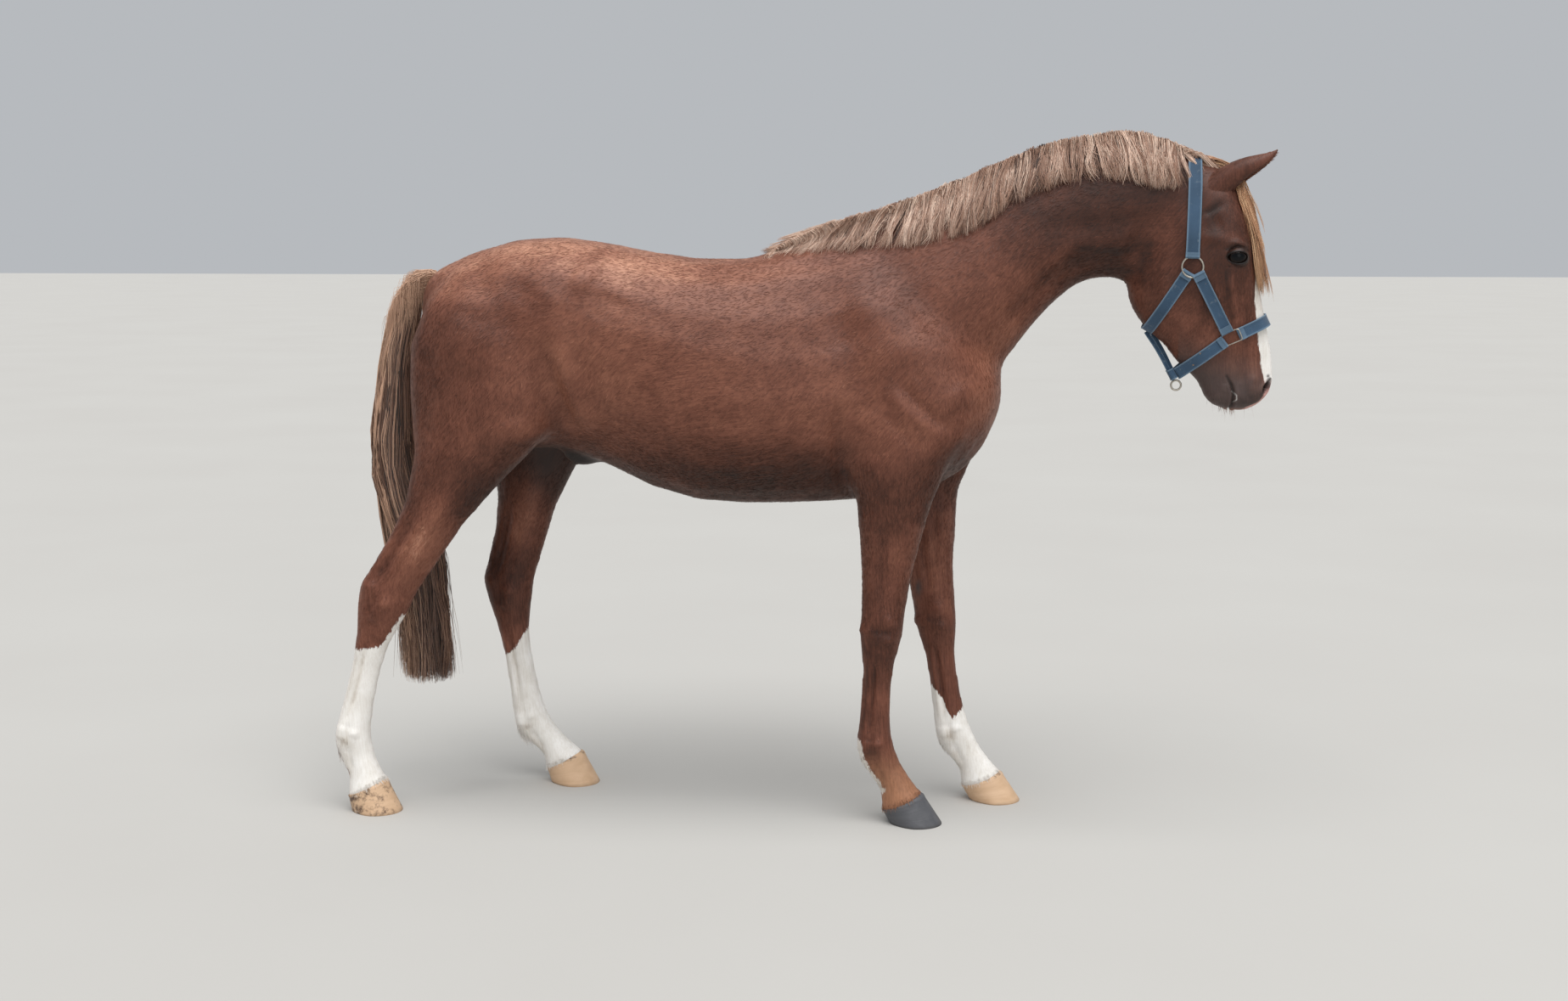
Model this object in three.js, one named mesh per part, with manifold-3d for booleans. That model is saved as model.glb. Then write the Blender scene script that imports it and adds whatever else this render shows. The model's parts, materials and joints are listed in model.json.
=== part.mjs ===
// A standing chestnut colt, life size, in a webbing halter.
// Millimetres. +X is the way the horse faces, +Y its left side, +Z up, and the hooves stand on z = 0.
// Every fleshy part is lofted through rings. A ring is stated in the side view by its front and back
// points (x, z), with a half width across.
import * as THREE from "three";
import { mergeVertices } from "three/addons/utils/BufferGeometryUtils.js";
import Module from "manifold-3d";

const wasm = await Module();
wasm.setup();

// Driving dimensions.
const gap = 0.3; // clear space between touching pieces
const withersHeight = 1518;
const croupHeight = 1518;
const muzzleReach = 1193; // how far forward the nose comes
const breastReach = 506; // and the breast
const buttockReach = -1012; // and the rump, behind
const foreSpread = 122; // from the middle plane to a forefoot
const hindSpread = 167; // and to a hind foot
const eyeRadius = 27;
const earLength = 160;
const maneDepth = 26; // how far the mane stands off the skin
const forelockDepth = 15;
const strapThickness = 3;
const ringRadius = 29; // middle of the bar of a halter ring
const ringBar = 2.8; // half the thickness of that bar
const farAway = 4000; // reach of the cutting blocks
const roundness = { trunk: 20, neck: 16, head: 20, limb: 12, tail: 12, ear: 8 }; // sides of a ring

const colours = {
  coat: { color: 0x8a4a33, roughness: 0.6 },
  hair: { color: 0xb08a62, roughness: 0.7 },
  white: { color: 0xe9e4de, roughness: 0.7 },
  paleHorn: { color: 0xc2a07a, roughness: 0.6 },
  darkHorn: { color: 0x4a4a4f, roughness: 0.6 },
  eye: { color: 0x140f10, roughness: 0.1 },
  webbing: { color: 0x47698f, roughness: 0.85 },
  metal: { color: 0xb8a98c, roughness: 0.3, metalness: 1 },
};

const horse = new THREE.Group();

// ---------------------------------------------------------------- solids

function solidOf(geometry) {
  const bare = geometry.index ? geometry.toNonIndexed() : geometry.clone();
  for (const name of Object.keys(bare.attributes)) {
    if (name !== "position") bare.deleteAttribute(name);
  }
  const merged = mergeVertices(bare, 1e-3);
  const mesh = new wasm.Mesh({
    numProp: 3,
    vertProperties: merged.attributes.position.array,
    triVerts: new Uint32Array(merged.index.array),
  });
  return new wasm.Manifold(mesh);
}

function geometryOf(solid) {
  const mesh = solid.getMesh();
  const geometry = new THREE.BufferGeometry();
  geometry.setAttribute("position", new THREE.BufferAttribute(new Float32Array(mesh.vertProperties), 3));
  geometry.setIndex(new THREE.BufferAttribute(new Uint32Array(mesh.triVerts), 1));
  geometry.computeVertexNormals();
  return geometry;
}

function addNode(name, solid, finish) {
  const mesh = new THREE.Mesh(geometryOf(solid), new THREE.MeshStandardMaterial(colours[finish]));
  mesh.name = name;
  horse.add(mesh);
}

const joined = (...solids) => solids.reduce((all, next) => all.add(next));
const within = (solid, ...blocks) => blocks.reduce((left, block) => left.intersect(block), solid);
const without = (solid, ...blocks) => blocks.reduce((left, block) => left.subtract(block), solid);

// A block that fills the side of a plane towards its normal, and stops half a gap short of it. The
// plane runs straight across the horse, so its point and normal are stated in the side view.
function sideOf([x, z], [normalX, normalZ]) {
  const direction = new THREE.Vector3(normalX, 0, normalZ).normalize();
  const box = new THREE.BoxGeometry(2 * farAway, 2 * farAway, farAway);
  box.translate(0, 0, (farAway + gap) / 2);
  box.applyQuaternion(new THREE.Quaternion().setFromUnitVectors(new THREE.Vector3(0, 0, 1), direction));
  return solidOf(box.translate(x, 0, z));
}

const outlineShape = (points) => new THREE.Shape(points.map(([u, v]) => new THREE.Vector2(u, v)));

// A side-view outline of (x, z) points, given a thickness from y = from to y = to.
function acrossFrom(points, from, to) {
  const slab = new THREE.ExtrudeGeometry(outlineShape(points), { depth: to - from, bevelEnabled: false });
  slab.rotateX(Math.PI / 2).translate(0, to, 0);
  return solidOf(slab);
}

// A front-view outline of (y, z) points that runs forward from x = start.
function forwardFrom(points, start) {
  const slab = new THREE.ExtrudeGeometry(outlineShape(points), { depth: farAway, bevelEnabled: false });
  slab.rotateX(Math.PI / 2).rotateZ(Math.PI / 2).translate(start, 0, 0);
  return solidOf(slab);
}

// ---------------------------------------------------------------- lofts

const mix = THREE.MathUtils.lerp;

// The points of a station's ring. wide is where the greatest width lies, from back 0 to front 1.
// frontSquare and backSquare are the powers of the two half ellipses: 2 is round, more is squarer and
// less is more pointed. grow swells the ring.
function ringOf(station, sides, grow) {
  const { front, back, half, y = 0, wide = 0.5, frontSquare = 2, backSquare = 2 } = station;
  const [frontX, frontZ] = front;
  const [backX, backZ] = back;
  const along = new THREE.Vector2(frontX - backX, frontZ - backZ);
  const depth = along.length();
  along.normalize();
  const middle = new THREE.Vector2(backX, backZ).addScaledVector(along, depth * wide);
  const ring = [];
  for (let i = 0; i < sides; i++) {
    const angle = (2 * Math.PI * i) / sides;
    const cos = Math.cos(angle);
    const sin = Math.sin(angle);
    const power = 2 / (cos > 0 ? frontSquare : backSquare);
    const reach = (cos > 0 ? depth * (1 - wide) : depth * wide) + grow;
    const forward = Math.sign(cos) * Math.abs(cos) ** power * reach;
    const across = Math.sign(sin) * Math.abs(sin) ** power * (half + grow);
    ring.push(new THREE.Vector3(middle.x + along.x * forward, y + across, middle.y + along.y * forward));
  }
  return ring;
}

const middleOf = (ring) =>
  ring.reduce((sum, point) => sum.add(point), new THREE.Vector3()).divideScalar(ring.length);

// Closes a run of rings into a skin, with a fan of triangles at each end.
function skinOver(rings) {
  const sides = rings[0].length;
  const points = rings.flat();
  const faces = [];
  const fan = (ring, turned) => {
    points.push(middleOf(rings[ring]));
    for (let i = 0; i < sides; i++) {
      const here = ring * sides + i;
      const next = ring * sides + ((i + 1) % sides);
      faces.push(...(turned ? [next, here] : [here, next]), points.length - 1);
    }
  };
  for (let ring = 0; ring + 1 < rings.length; ring++) {
    for (let i = 0; i < sides; i++) {
      const here = ring * sides + i;
      const next = ring * sides + ((i + 1) % sides);
      faces.push(here, next, here + sides, next, next + sides, here + sides);
    }
  }
  fan(0, true);
  fan(rings.length - 1, false);
  const geometry = new THREE.BufferGeometry().setFromPoints(points);
  geometry.setIndex(faces);
  const solid = solidOf(geometry);
  return solid.volume() > 0 ? solid : solidOf(geometry.setIndex(faces.reverse()));
}

// Lofts a closed body through a run of stations. grow swells it all over.
function loft(stations, sides, grow = 0) {
  const rings = stations.map((station) => ringOf(station, sides, grow));
  if (grow > 0) {
    for (const [end, next] of [[rings[0], rings[1]], [rings.at(-1), rings.at(-2)]]) {
      const outward = middleOf(end).sub(middleOf(next)).setLength(grow);
      end.forEach((point) => point.add(outward));
    }
  }
  return skinOver(rings);
}

// ---------------------------------------------------------------- trunk, neck and head

// An upright ring of the trunk, from the spine to the belly.
const trunkRing = (x, top, bottom, half, wide, topSquare) => ({
  front: [x, top],
  back: [x, bottom],
  half,
  wide,
  frontSquare: topSquare,
  backSquare: 2.1,
});

const trunk = (grow) =>
  loft(
    [
      trunkRing(buttockReach, 1392, 1180, 70, 0.5, 2.2), // under the dock
      trunkRing(-975, 1434, 1090, 125, 0.5, 2.2),
      trunkRing(-880, 1477, 1000, 190, 0.52, 2.2),
      trunkRing(-760, 1511, 955, 228, 0.56, 2.2), // croup
      trunkRing(-640, croupHeight, 958, 240, 0.6, 2.2), // hips
      trunkRing(-520, 1502, 914, 238, 0.56, 2.3),
      trunkRing(-400, 1479, 858, 250, 0.5, 2.3), // loin
      trunkRing(-280, 1463, 826, 260, 0.46, 2.2),
      trunkRing(-160, 1463, 819, 257, 0.44, 2.05),
      trunkRing(-50, 1490, 821, 240, 0.42, 1.75),
      trunkRing(50, withersHeight - 4, 826, 218, 0.4, 1.6), // withers
      trunkRing(150, withersHeight + 8, 834, 200, 0.4, 1.7),
      trunkRing(250, 1490, 846, 190, 0.42, 1.9),
      trunkRing(340, 1410, 872, 184, 0.44, 2),
      trunkRing(410, 1322, 915, 172, 0.48, 2.1),
      trunkRing(breastReach - 46, 1250, 975, 148, 0.5, 2.1),
      trunkRing(breastReach - 14, 1212, 1045, 108, 0.5, 2.1),
      trunkRing(breastReach, 1178, 1092, 52, 0.5, 2.1),
    ],
    roundness.trunk,
    grow,
  );

const neckRing = (front, back, half, wide, crest) => ({ front, back, half, wide, frontSquare: crest });

const neck = (grow) =>
  loft(
    [
      neckRing([20, 1496], [400, 1000], 120, 0.45, 1.5),
      neckRing([130, 1544], [470, 1120], 138, 0.42, 1.5),
      neckRing([262, 1587], [520, 1204], 124, 0.42, 1.5),
      neckRing([392, 1643], [574, 1278], 108, 0.42, 1.55),
      neckRing([520, 1697], [632, 1345], 95, 0.42, 1.6),
      neckRing([650, 1740], [696, 1397], 86, 0.44, 1.65),
      neckRing([775, 1761], [756, 1412], 80, 0.46, 1.7),
      neckRing([880, 1751], [812, 1404], 78, 0.5, 1.8),
      neckRing([965, 1720], [860, 1420], 74, 0.55, 1.9), // poll
      neckRing([1030, 1686], [920, 1460], 60, 0.6, 2),
    ],
    roundness.neck,
    grow,
  );

const headRing = (front, back, half, wide, foreSquare, jawSquare) => ({
  front,
  back,
  half,
  wide,
  frontSquare: foreSquare,
  backSquare: jawSquare,
});

const head = (grow) =>
  loft(
    [
      headRing([1004, 1702], [905, 1640], 40, 0.6, 2, 2),
      headRing([1052, 1690], [858, 1540], 72, 0.66, 2.2, 2.2),
      headRing([1090, 1650], [830, 1448], 90, 0.7, 2.4, 2.2),
      headRing([1114, 1590], [818, 1388], 100, 0.74, 2.6, 2.1), // temples
      headRing([1130, 1510], [824, 1350], 105, 0.78, 2.7, 2.1), // eyes
      headRing([1146, 1425], [842, 1320], 94, 0.76, 2.5, 2.2),
      headRing([1162, 1345], [874, 1272], 79, 0.7, 2.3, 2.3), // end of the cheek
      headRing([1177, 1278], [922, 1218], 64, 0.62, 2.2, 2.3),
      headRing([muzzleReach - 5, 1222], [970, 1180], 54, 0.58, 2.2, 2.2),
      headRing([muzzleReach, 1172], [1002, 1150], 51, 0.58, 2.2, 2.2),
      headRing([1187, 1130], [1018, 1114], 53, 0.62, 2.4, 2.2), // nostrils
      headRing([1168, 1103], [1036, 1094], 47, 0.58, 2.4, 2.2),
      headRing([1144, 1086], [1060, 1084], 33, 0.55, 2.4, 2),
      headRing([1124, 1078], [1088, 1077], 14, 0.5, 2, 2),
    ],
    roundness.head,
    grow,
  );

// A low swelling under the belly, ahead of the thighs.
function sheath() {
  const swelling = new THREE.SphereGeometry(1, 14, 10);
  swelling.scale(84, 34, 30).rotateY(-0.3);
  return solidOf(swelling.translate(-572, 0, 956));
}

// ---------------------------------------------------------------- legs

// The joints of each leg in the side view. lean is how far the ring at that joint rises to the
// front, in degrees. The last joint is the middle of the coronet, where the hoof begins, and toe and
// heel are where the hoof meets the ground.
const limbs = {
  right_fore: {
    side: -1,
    spread: foreSpread,
    elbow: { x: 240, z: 850, lean: 0 },
    knee: { x: 209, z: 505, lean: 0 },
    fetlock: { x: 192, z: 205, lean: 5 },
    coronet: { x: 265, z: 56, lean: 23 },
    toe: 370,
    heel: 233,
    hoofFinish: "darkHorn",
    finish: "coat",
  },
  left_fore: {
    side: 1,
    spread: foreSpread,
    elbow: { x: 298, z: 850, lean: 0 },
    knee: { x: 340, z: 495, lean: 6 },
    fetlock: { x: 388, z: 190, lean: 12 },
    coronet: { x: 466, z: 56, lean: 21 },
    toe: 572,
    heel: 436,
    hoofFinish: "paleHorn",
    finish: "white",
  },
  right_hind: {
    side: -1,
    spread: hindSpread,
    carried: 0,
    stifle: { x: -885, z: 930, lean: -12 },
    hock: { x: -1100, z: 573, lean: -32 },
    fetlock: { x: -1194, z: 205, lean: 1 },
    coronet: { x: -1157, z: 62, lean: 23 },
    toe: -1064,
    heel: -1200,
    hoofFinish: "paleHorn",
    finish: "white",
  },
  left_hind: {
    side: 1,
    spread: hindSpread,
    carried: 30,
    stifle: { x: -762, z: 930, lean: -6 },
    hock: { x: -852, z: 550, lean: -20 },
    fetlock: { x: -790, z: 178, lean: 20 },
    coronet: { x: -696, z: 62, lean: 26 },
    toe: -598,
    heel: -734,
    hoofFinish: "paleHorn",
    finish: "white",
  },
};

// Rings down a chain of joints. A row states its place along the chain, how far it reaches ahead of
// and behind the line of the bones, and its half width.
function ringsDown(joints, y, rows) {
  return rows.map(([place, ahead, behind, half, outward = 0]) => {
    const i = Math.min(Math.floor(place), joints.length - 2);
    const from = joints[i];
    const to = joints[i + 1];
    const x = mix(from.x, to.x, place - i);
    const z = mix(from.z, to.z, place - i);
    const lean = THREE.MathUtils.degToRad(mix(from.lean, to.lean, place - i));
    const tip = (reach) => [x + reach * Math.cos(lean), z + reach * Math.sin(lean)];
    return { front: tip(ahead), back: tip(-behind), half, y: y + outward * Math.sign(y) };
  });
}

// From the middle of the cannon bone to the coronet, the same on every leg.
const footRows = [
  [1.5, 37, 45, 29],
  [1.75, 39, 47, 31],
  [1.92, 45, 50, 36],
  [2.1, 48, 54, 38],
  [2.4, 45, 50, 33],
  [2.7, 49, 40, 37],
  [3, 58, 58, 47],
];

const hoofRings = ({ toe, heel }, y) => [
  { front: [toe - 6, 14], back: [heel - 6, 8], half: 62, y },
  { front: [toe, 0], back: [heel, 0], half: 64, y, backSquare: 2.6 },
];

function foreleg(limb, grow = 0) {
  const { side, elbow, knee, fetlock, coronet } = limb;
  const y = side * limb.spread;
  const shoulder = [
    { front: [226, 1450], back: [30, 1440], half: 36, y: side * 60 },
    { front: [318, 1350], back: [20, 1330], half: 72, y: side * 92 },
    { front: [412, 1240], back: [40, 1215], half: 86, y: side * 114, frontSquare: 2.2 },
    { front: [458, 1130], back: [62, 1100], half: 88, y: side * 122, frontSquare: 2.3 },
    { front: [444, 1030], back: [84, 1000], half: 86, y: side * 126, frontSquare: 2.2 },
    { front: [elbow.x + 142, 945], back: [elbow.x - 134, 920], half: 82, y: side * 130 },
  ];
  const rows = [
    [0, 101, 102, 68, 10],
    [0.2, 86, 88, 60, 6],
    [0.35, 77, 80, 54, 3],
    [0.6, 64, 68, 46],
    [0.85, 58, 61, 42],
    [1, 57, 59, 46],
    [1.12, 51, 55, 42],
    [1.3, 39, 46, 31],
    ...footRows,
  ];
  const down = ringsDown([elbow, knee, fetlock, coronet], y, rows);
  return loft([...shoulder, ...down, ...hoofRings(limb, y)], roundness.limb, grow);
}

function hindleg(limb, grow = 0) {
  const { side, carried, stifle, hock, fetlock, coronet } = limb;
  const y = side * limb.spread;
  const thigh = [
    { front: [-660, 1440], back: [-915, 1432], half: 56, y: side * 92 },
    { front: [-600, 1360], back: [-984, 1345], half: 92, y: side * 126, wide: 0.55 },
    { front: [-590, 1250], back: [-1022, 1236], half: 106, y: side * 141, wide: 0.55 },
    { front: [-602, 1130], back: [-1026, 1120], half: 108, y: side * 145, wide: 0.55 },
    { front: [-640 + carried, 1020], back: [-1018 + carried, 1015], half: 102, y: side * 148, wide: 0.55 },
  ];
  const rows = [
    [0, 128, 130, 88, -14],
    [0.35, 87, 82, 64, -6],
    [0.6, 79, 70, 52],
    [0.85, 71, 72, 43],
    [1, 76, 74, 48],
    [1.12, 62, 68, 45],
    [1.3, 43, 52, 35],
    ...footRows,
  ];
  const down = ringsDown([stifle, hock, fetlock, coronet], y, rows);
  return loft([...thigh, ...down, ...hoofRings(limb, y)], roundness.limb, grow);
}

// ---------------------------------------------------------------- the flesh, parted

// Where the neck is parted from the head and from the trunk: a point on the cut and its normal.
const pollCut = { point: [815, 1393], normal: [312, -188] };
const neckCut = { point: [60, 1520], normal: [355, 440] };
const reversed = ([x, z]) => [-x, -z];

// Heights at which each leg is parted from the trunk, and below the knee or hock.
const legCuts = {
  fore: { top: 850, below: 425 },
  hind: { top: 965, below: 470 },
};

const flesh = joined(
  trunk(0),
  neck(0),
  head(0),
  sheath(),
  foreleg(limbs.right_fore),
  foreleg(limbs.left_fore),
  hindleg(limbs.right_hind),
  hindleg(limbs.left_hind),
);
const front = (grow) => joined(trunk(grow), neck(grow), head(grow));
const frontWithGap = front(gap);

const aheadOfNeck = sideOf(neckCut.point, neckCut.normal);
const eyePlaces = [-1, 1].map((side) => [side > 0 ? "left" : "right", [1085, side * 80, 1468]]);
const eyeball = (radius, place) => solidOf(new THREE.SphereGeometry(radius, 12, 8).translate(...place));

const sockets = eyePlaces.map(([, place]) => eyeball(eyeRadius + gap, place));
const headPart = within(flesh, aheadOfNeck, sideOf(pollCut.point, pollCut.normal));
addNode("head", without(headPart, ...sockets), "coat");
addNode("neck", within(flesh, aheadOfNeck, sideOf(pollCut.point, reversed(pollCut.normal))), "coat");
for (const [side, place] of eyePlaces) addNode(`${side}_eye`, eyeball(eyeRadius, place), "eye");

let rest = within(flesh, sideOf(neckCut.point, reversed(neckCut.normal)));
for (const [name, limb] of Object.entries(limbs)) {
  const isFore = name.endsWith("fore");
  const { top, below } = isFore ? legCuts.fore : legCuts.hind;
  const legBelow = (height, grow) =>
    within((isFore ? foreleg : hindleg)(limb, grow), sideOf([0, height], [0, -1]));
  const leg = legBelow(top, 0);
  rest = without(rest, legBelow(top + gap, gap));
  const lean = THREE.MathUtils.degToRad(limb.coronet.lean);
  const coronet = [limb.coronet.x, limb.coronet.z];
  const hoofward = [Math.sin(lean), -Math.cos(lean)];
  const belowKnee = within(leg, sideOf([0, below], [0, -1]));
  const upperName = `${limb.side < 0 ? "right" : "left"}_${isFore ? "forearm" : "gaskin"}`;
  addNode(upperName, within(leg, sideOf([0, below], [0, 1])), "coat");
  addNode(`${name}_cannon`, within(belowKnee, sideOf(coronet, reversed(hoofward))), limb.finish);
  addNode(`${name}_hoof`, within(belowKnee, sideOf(coronet, hoofward)), limb.hoofFinish);
}
addNode("trunk", rest, "coat");

// ---------------------------------------------------------------- ears

// An ear points forward and up, cupped on the side that faces forward. Its rings are stated from base
// to tip by their share of the length, width in the side view, half width and distance from the middle.
function ear(side, shrink, grow = 0) {
  const base = { x: 1040, z: 1652 };
  const rise = THREE.MathUtils.degToRad(30);
  const rows = [
    [-0.3, 40, 34, 28, 42],
    [0.1, 35, 34, 30, 51],
    [0.4, 28, 28, 26, 58],
    [0.65, 20, 21, 20, 64],
    [0.86, 11, 12, 12, 70],
    [1, 3, 4, 3, 74],
  ];
  const stations = rows.map(([share, lower, upper, half, out]) => {
    const x = base.x + Math.cos(rise) * earLength * share;
    const z = base.z + Math.sin(rise) * earLength * share;
    const tip = (reach) => [x + Math.sin(rise) * reach, z - Math.cos(rise) * reach];
    const opened = shrink > 0 ? 30 : 0;
    return {
      front: tip(lower + opened),
      back: tip(-Math.max(upper - shrink, 1)),
      half: Math.max(half - shrink, 0.5),
      y: side * (out + shrink * 0.6),
      wide: 0.5,
    };
  });
  return loft(shrink > 0 ? stations.slice(1, -1) : stations, roundness.ear, grow);
}

const aheadOfCrown = sideOf([999, 0], [1, 0]);
const ears = [-1, 1].map((side) => within(without(ear(side, 0), ear(side, 6), frontWithGap), aheadOfCrown));
addNode("right_ear", ears[0], "coat");
addNode("left_ear", ears[1], "coat");

// ---------------------------------------------------------------- mane, forelock and tail

// The mane hangs on the right side of the neck. Its lower edge is where the hair ends.
const maneOutline = [
  [-100, 1487],
  [-40, 1474],
  [115, 1478],
  [310, 1492],
  [430, 1522],
  [522, 1592],
  [648, 1642],
  [816, 1655],
  [950, 1632],
  [950, 1750],
  [890, 1800],
  [140, 1700],
  [60, 1566],
  [-30, 1532],
];
const maneCover = within(front(maneDepth), acrossFrom(maneOutline, -farAway, 14));
addNode("mane", without(maneCover, frontWithGap), "hair");

// The forelock comes forward between the ears and hangs down the middle of the face.
const forelockOutline = [
  [-26, 1800],
  [-26, 1690],
  [-50, 1640],
  [-52, 1560],
  [-36, 1450],
  [-10, 1392],
  [14, 1392],
  [38, 1450],
  [52, 1560],
  [50, 1640],
  [26, 1690],
  [26, 1800],
];
const forelockCover = within(front(forelockDepth), forwardFrom(forelockOutline, 1003));
const earsWithGap = [-1, 1].map((side) => ear(side, 0, gap));
addNode("forelock", without(forelockCover, frontWithGap, ...earsWithGap), "hair");

const tail = loft(
  [
    { front: [-985, 1362], back: [-1000, 1424], half: 30 },
    { front: [-1028, 1342], back: [-1070, 1419], half: 37 },
    { front: [-1040, 1290], back: [-1108, 1390], half: 43 },
    { front: [-1056, 1235], back: [-1128, 1290], half: 48 },
    { front: [-1072, 1100], back: [-1164, 1096], half: 55 },
    { front: [-1066, 990], back: [-1177, 975], half: 59 },
    { front: [-1046, 880], back: [-1174, 878], half: 62 },
    { front: [-1012, 770], back: [-1158, 786], half: 63 },
    { front: [-984, 660], back: [-1136, 690], half: 62 },
    { front: [-966, 540], back: [-1119, 560], half: 61 },
    { front: [-960, 430], back: [-1113, 440], half: 59 },
    { front: [-958, 322], back: [-1110, 318], half: 55 },
  ],
  roundness.tail,
);
addNode("tail", without(tail, trunk(gap)), "hair");

// ---------------------------------------------------------------- halter

const halterCore = (grow) => joined(neck(grow), head(grow));
const webbingShell = without(halterCore(gap + strapThickness), halterCore(gap));
const sideRingPlace = { x: 967, z: 1444, out: 101 };
const torus = (grow) => new THREE.TorusGeometry(ringRadius, ringBar + grow, 5, 16);

function sideRing(side, grow) {
  const ring = torus(grow);
  ring.rotateX(Math.PI / 2).rotateZ(side * 0.06);
  return solidOf(ring.translate(sideRingPlace.x, side * sideRingPlace.out, sideRingPlace.z));
}

// A four-cornered ring, turned in the side view.
function squareRing(side, grow) {
  const size = 21;
  const hole = size - 2 * ringBar;
  const thick = ringBar + grow;
  const square = (half) => [[-half, -half], [half, -half], [half, half], [-half, half]];
  const outline = outlineShape(square(size + grow));
  outline.holes.push(outlineShape(square(hole - grow)));
  const frame = new THREE.ExtrudeGeometry(outline, { depth: 2 * thick, bevelEnabled: false });
  frame.translate(0, 0, -thick).rotateX(Math.PI / 2).rotateY(-0.5).rotateZ(side * 0.2);
  return solidOf(frame.translate(1062, side * 82, 1266));
}

// The band between two points of the side view, as an outline.
function band([fromX, fromZ], [toX, toZ], width) {
  const along = new THREE.Vector2(toX - fromX, toZ - fromZ).normalize();
  const across = new THREE.Vector2(-along.y, along.x).multiplyScalar(width / 2);
  return [
    [fromX + across.x, fromZ + across.y],
    [fromX - across.x, fromZ - across.y],
    [toX - across.x, toZ - across.y],
    [toX + across.x, toZ + across.y],
  ];
}

const straps = {
  crown_strap: { from: [968, 1468], to: [978, 1800], width: 33 },
  throat_strap: { from: [946, 1420], to: [850, 1262], width: 30 },
  front_noseband: { from: [1082, 1275], to: [1240, 1338], width: 31 },
  rear_noseband: { from: [1056, 1250], to: [880, 1158], width: 31 },
};
const rings = [-1, 1].flatMap((side) => [sideRing(side, gap), squareRing(side, gap)]);
for (const [name, { from, to, width }] of Object.entries(straps)) {
  const strap = within(webbingShell, acrossFrom(band(from, to, width), -farAway, farAway));
  addNode(`halter_${name}`, without(strap, ...rings), "webbing");
}
for (const [side, word] of [[-1, "right"], [1, "left"]]) {
  const cheek = band([988, 1420], [1052, 1284], 30);
  const strap = within(webbingShell, acrossFrom(cheek, ...(side < 0 ? [-farAway, 0] : [0, farAway])));
  addNode(`halter_${word}_cheek_strap`, without(strap, ...rings), "webbing");
  addNode(`halter_${word}_ring`, without(sideRing(side, 0), halterCore(gap)), "metal");
  addNode(`halter_${word}_square_ring`, without(squareRing(side, 0), halterCore(gap)), "metal");
}

// Behind the jaw a narrow strap joins the throat strap to the chin, where a keeper carries the ring
// that a lead would clip to.
const clearOfStraps = halterCore(2 * gap + strapThickness);
const jawStrap = acrossFrom(band([884, 1252], [925, 1191], strapThickness), -12, 12);
addNode("halter_jaw_strap", without(jawStrap, clearOfStraps), "webbing");
const keeper = (grow) => acrossFrom(band([934, 1162], [966, 1179], 28 + grow), -20 - grow, 20 + grow);
addNode("halter_chin_keeper", without(keeper(0), clearOfStraps), "webbing");
const chinRing = new THREE.TorusGeometry(14, ringBar, 5, 14).rotateX(Math.PI / 2).translate(951, 0, 1137);
addNode("halter_chin_ring", without(solidOf(chinRing), keeper(2 * gap)), "metal");

const bounds = new THREE.Box3().setFromObject(horse);
horse.position.set(-(bounds.min.x + bounds.max.x) / 2, -(bounds.min.y + bounds.max.y) / 2, -bounds.min.z);

export default horse;
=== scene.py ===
# A standing chestnut colt in a webbing halter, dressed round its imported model.
# Metres, +X is forward, +Y the horse's left, +Z up.
import json
import math
from functools import partial

import bpy
import numpy as np
from mathutils import Euler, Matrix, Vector
from mathutils.bvhtree import BVHTree
from mathutils.geometry import convex_hull_2d

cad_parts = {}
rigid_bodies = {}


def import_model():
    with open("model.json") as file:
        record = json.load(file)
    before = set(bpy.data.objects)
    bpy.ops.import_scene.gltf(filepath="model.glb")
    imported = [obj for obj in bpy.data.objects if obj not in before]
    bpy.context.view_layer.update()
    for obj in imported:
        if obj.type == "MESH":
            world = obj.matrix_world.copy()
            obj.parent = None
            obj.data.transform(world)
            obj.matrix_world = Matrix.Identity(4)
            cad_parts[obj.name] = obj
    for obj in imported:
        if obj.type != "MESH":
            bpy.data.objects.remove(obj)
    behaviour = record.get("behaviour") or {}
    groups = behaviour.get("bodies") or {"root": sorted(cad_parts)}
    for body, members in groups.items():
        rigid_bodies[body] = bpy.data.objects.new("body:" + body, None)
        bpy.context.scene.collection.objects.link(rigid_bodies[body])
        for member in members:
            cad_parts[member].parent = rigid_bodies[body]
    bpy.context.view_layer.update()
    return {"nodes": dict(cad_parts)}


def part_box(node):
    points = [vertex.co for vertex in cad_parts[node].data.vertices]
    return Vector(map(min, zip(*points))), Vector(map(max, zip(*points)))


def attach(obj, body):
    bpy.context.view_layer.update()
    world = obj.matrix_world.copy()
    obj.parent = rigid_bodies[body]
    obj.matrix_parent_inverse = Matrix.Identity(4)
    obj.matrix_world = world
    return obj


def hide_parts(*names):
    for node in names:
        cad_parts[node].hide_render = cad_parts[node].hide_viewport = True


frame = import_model()
nodes = frame["nodes"]
rng = np.random.default_rng(7)

# Places are stated from the ground under the withers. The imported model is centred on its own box, so
# every stated place is carried forward by this much.
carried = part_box("head")[1].x - 1.193


# Small helpers.

# How far forward a place is, counted along the slope of the throat.
def headwardOf(points):
    return points[:, 0] - carried + 0.35 * (points[:, 2] - 1.4)


def linear(hexColour):
    channels = [int(hexColour[i:i + 2], 16) / 255 for i in (0, 2, 4)]
    flat = [c / 12.92 if c <= 0.04045 else ((c + 0.055) / 1.055) ** 2.4 for c in channels]
    return (*flat, 1.0)


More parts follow.
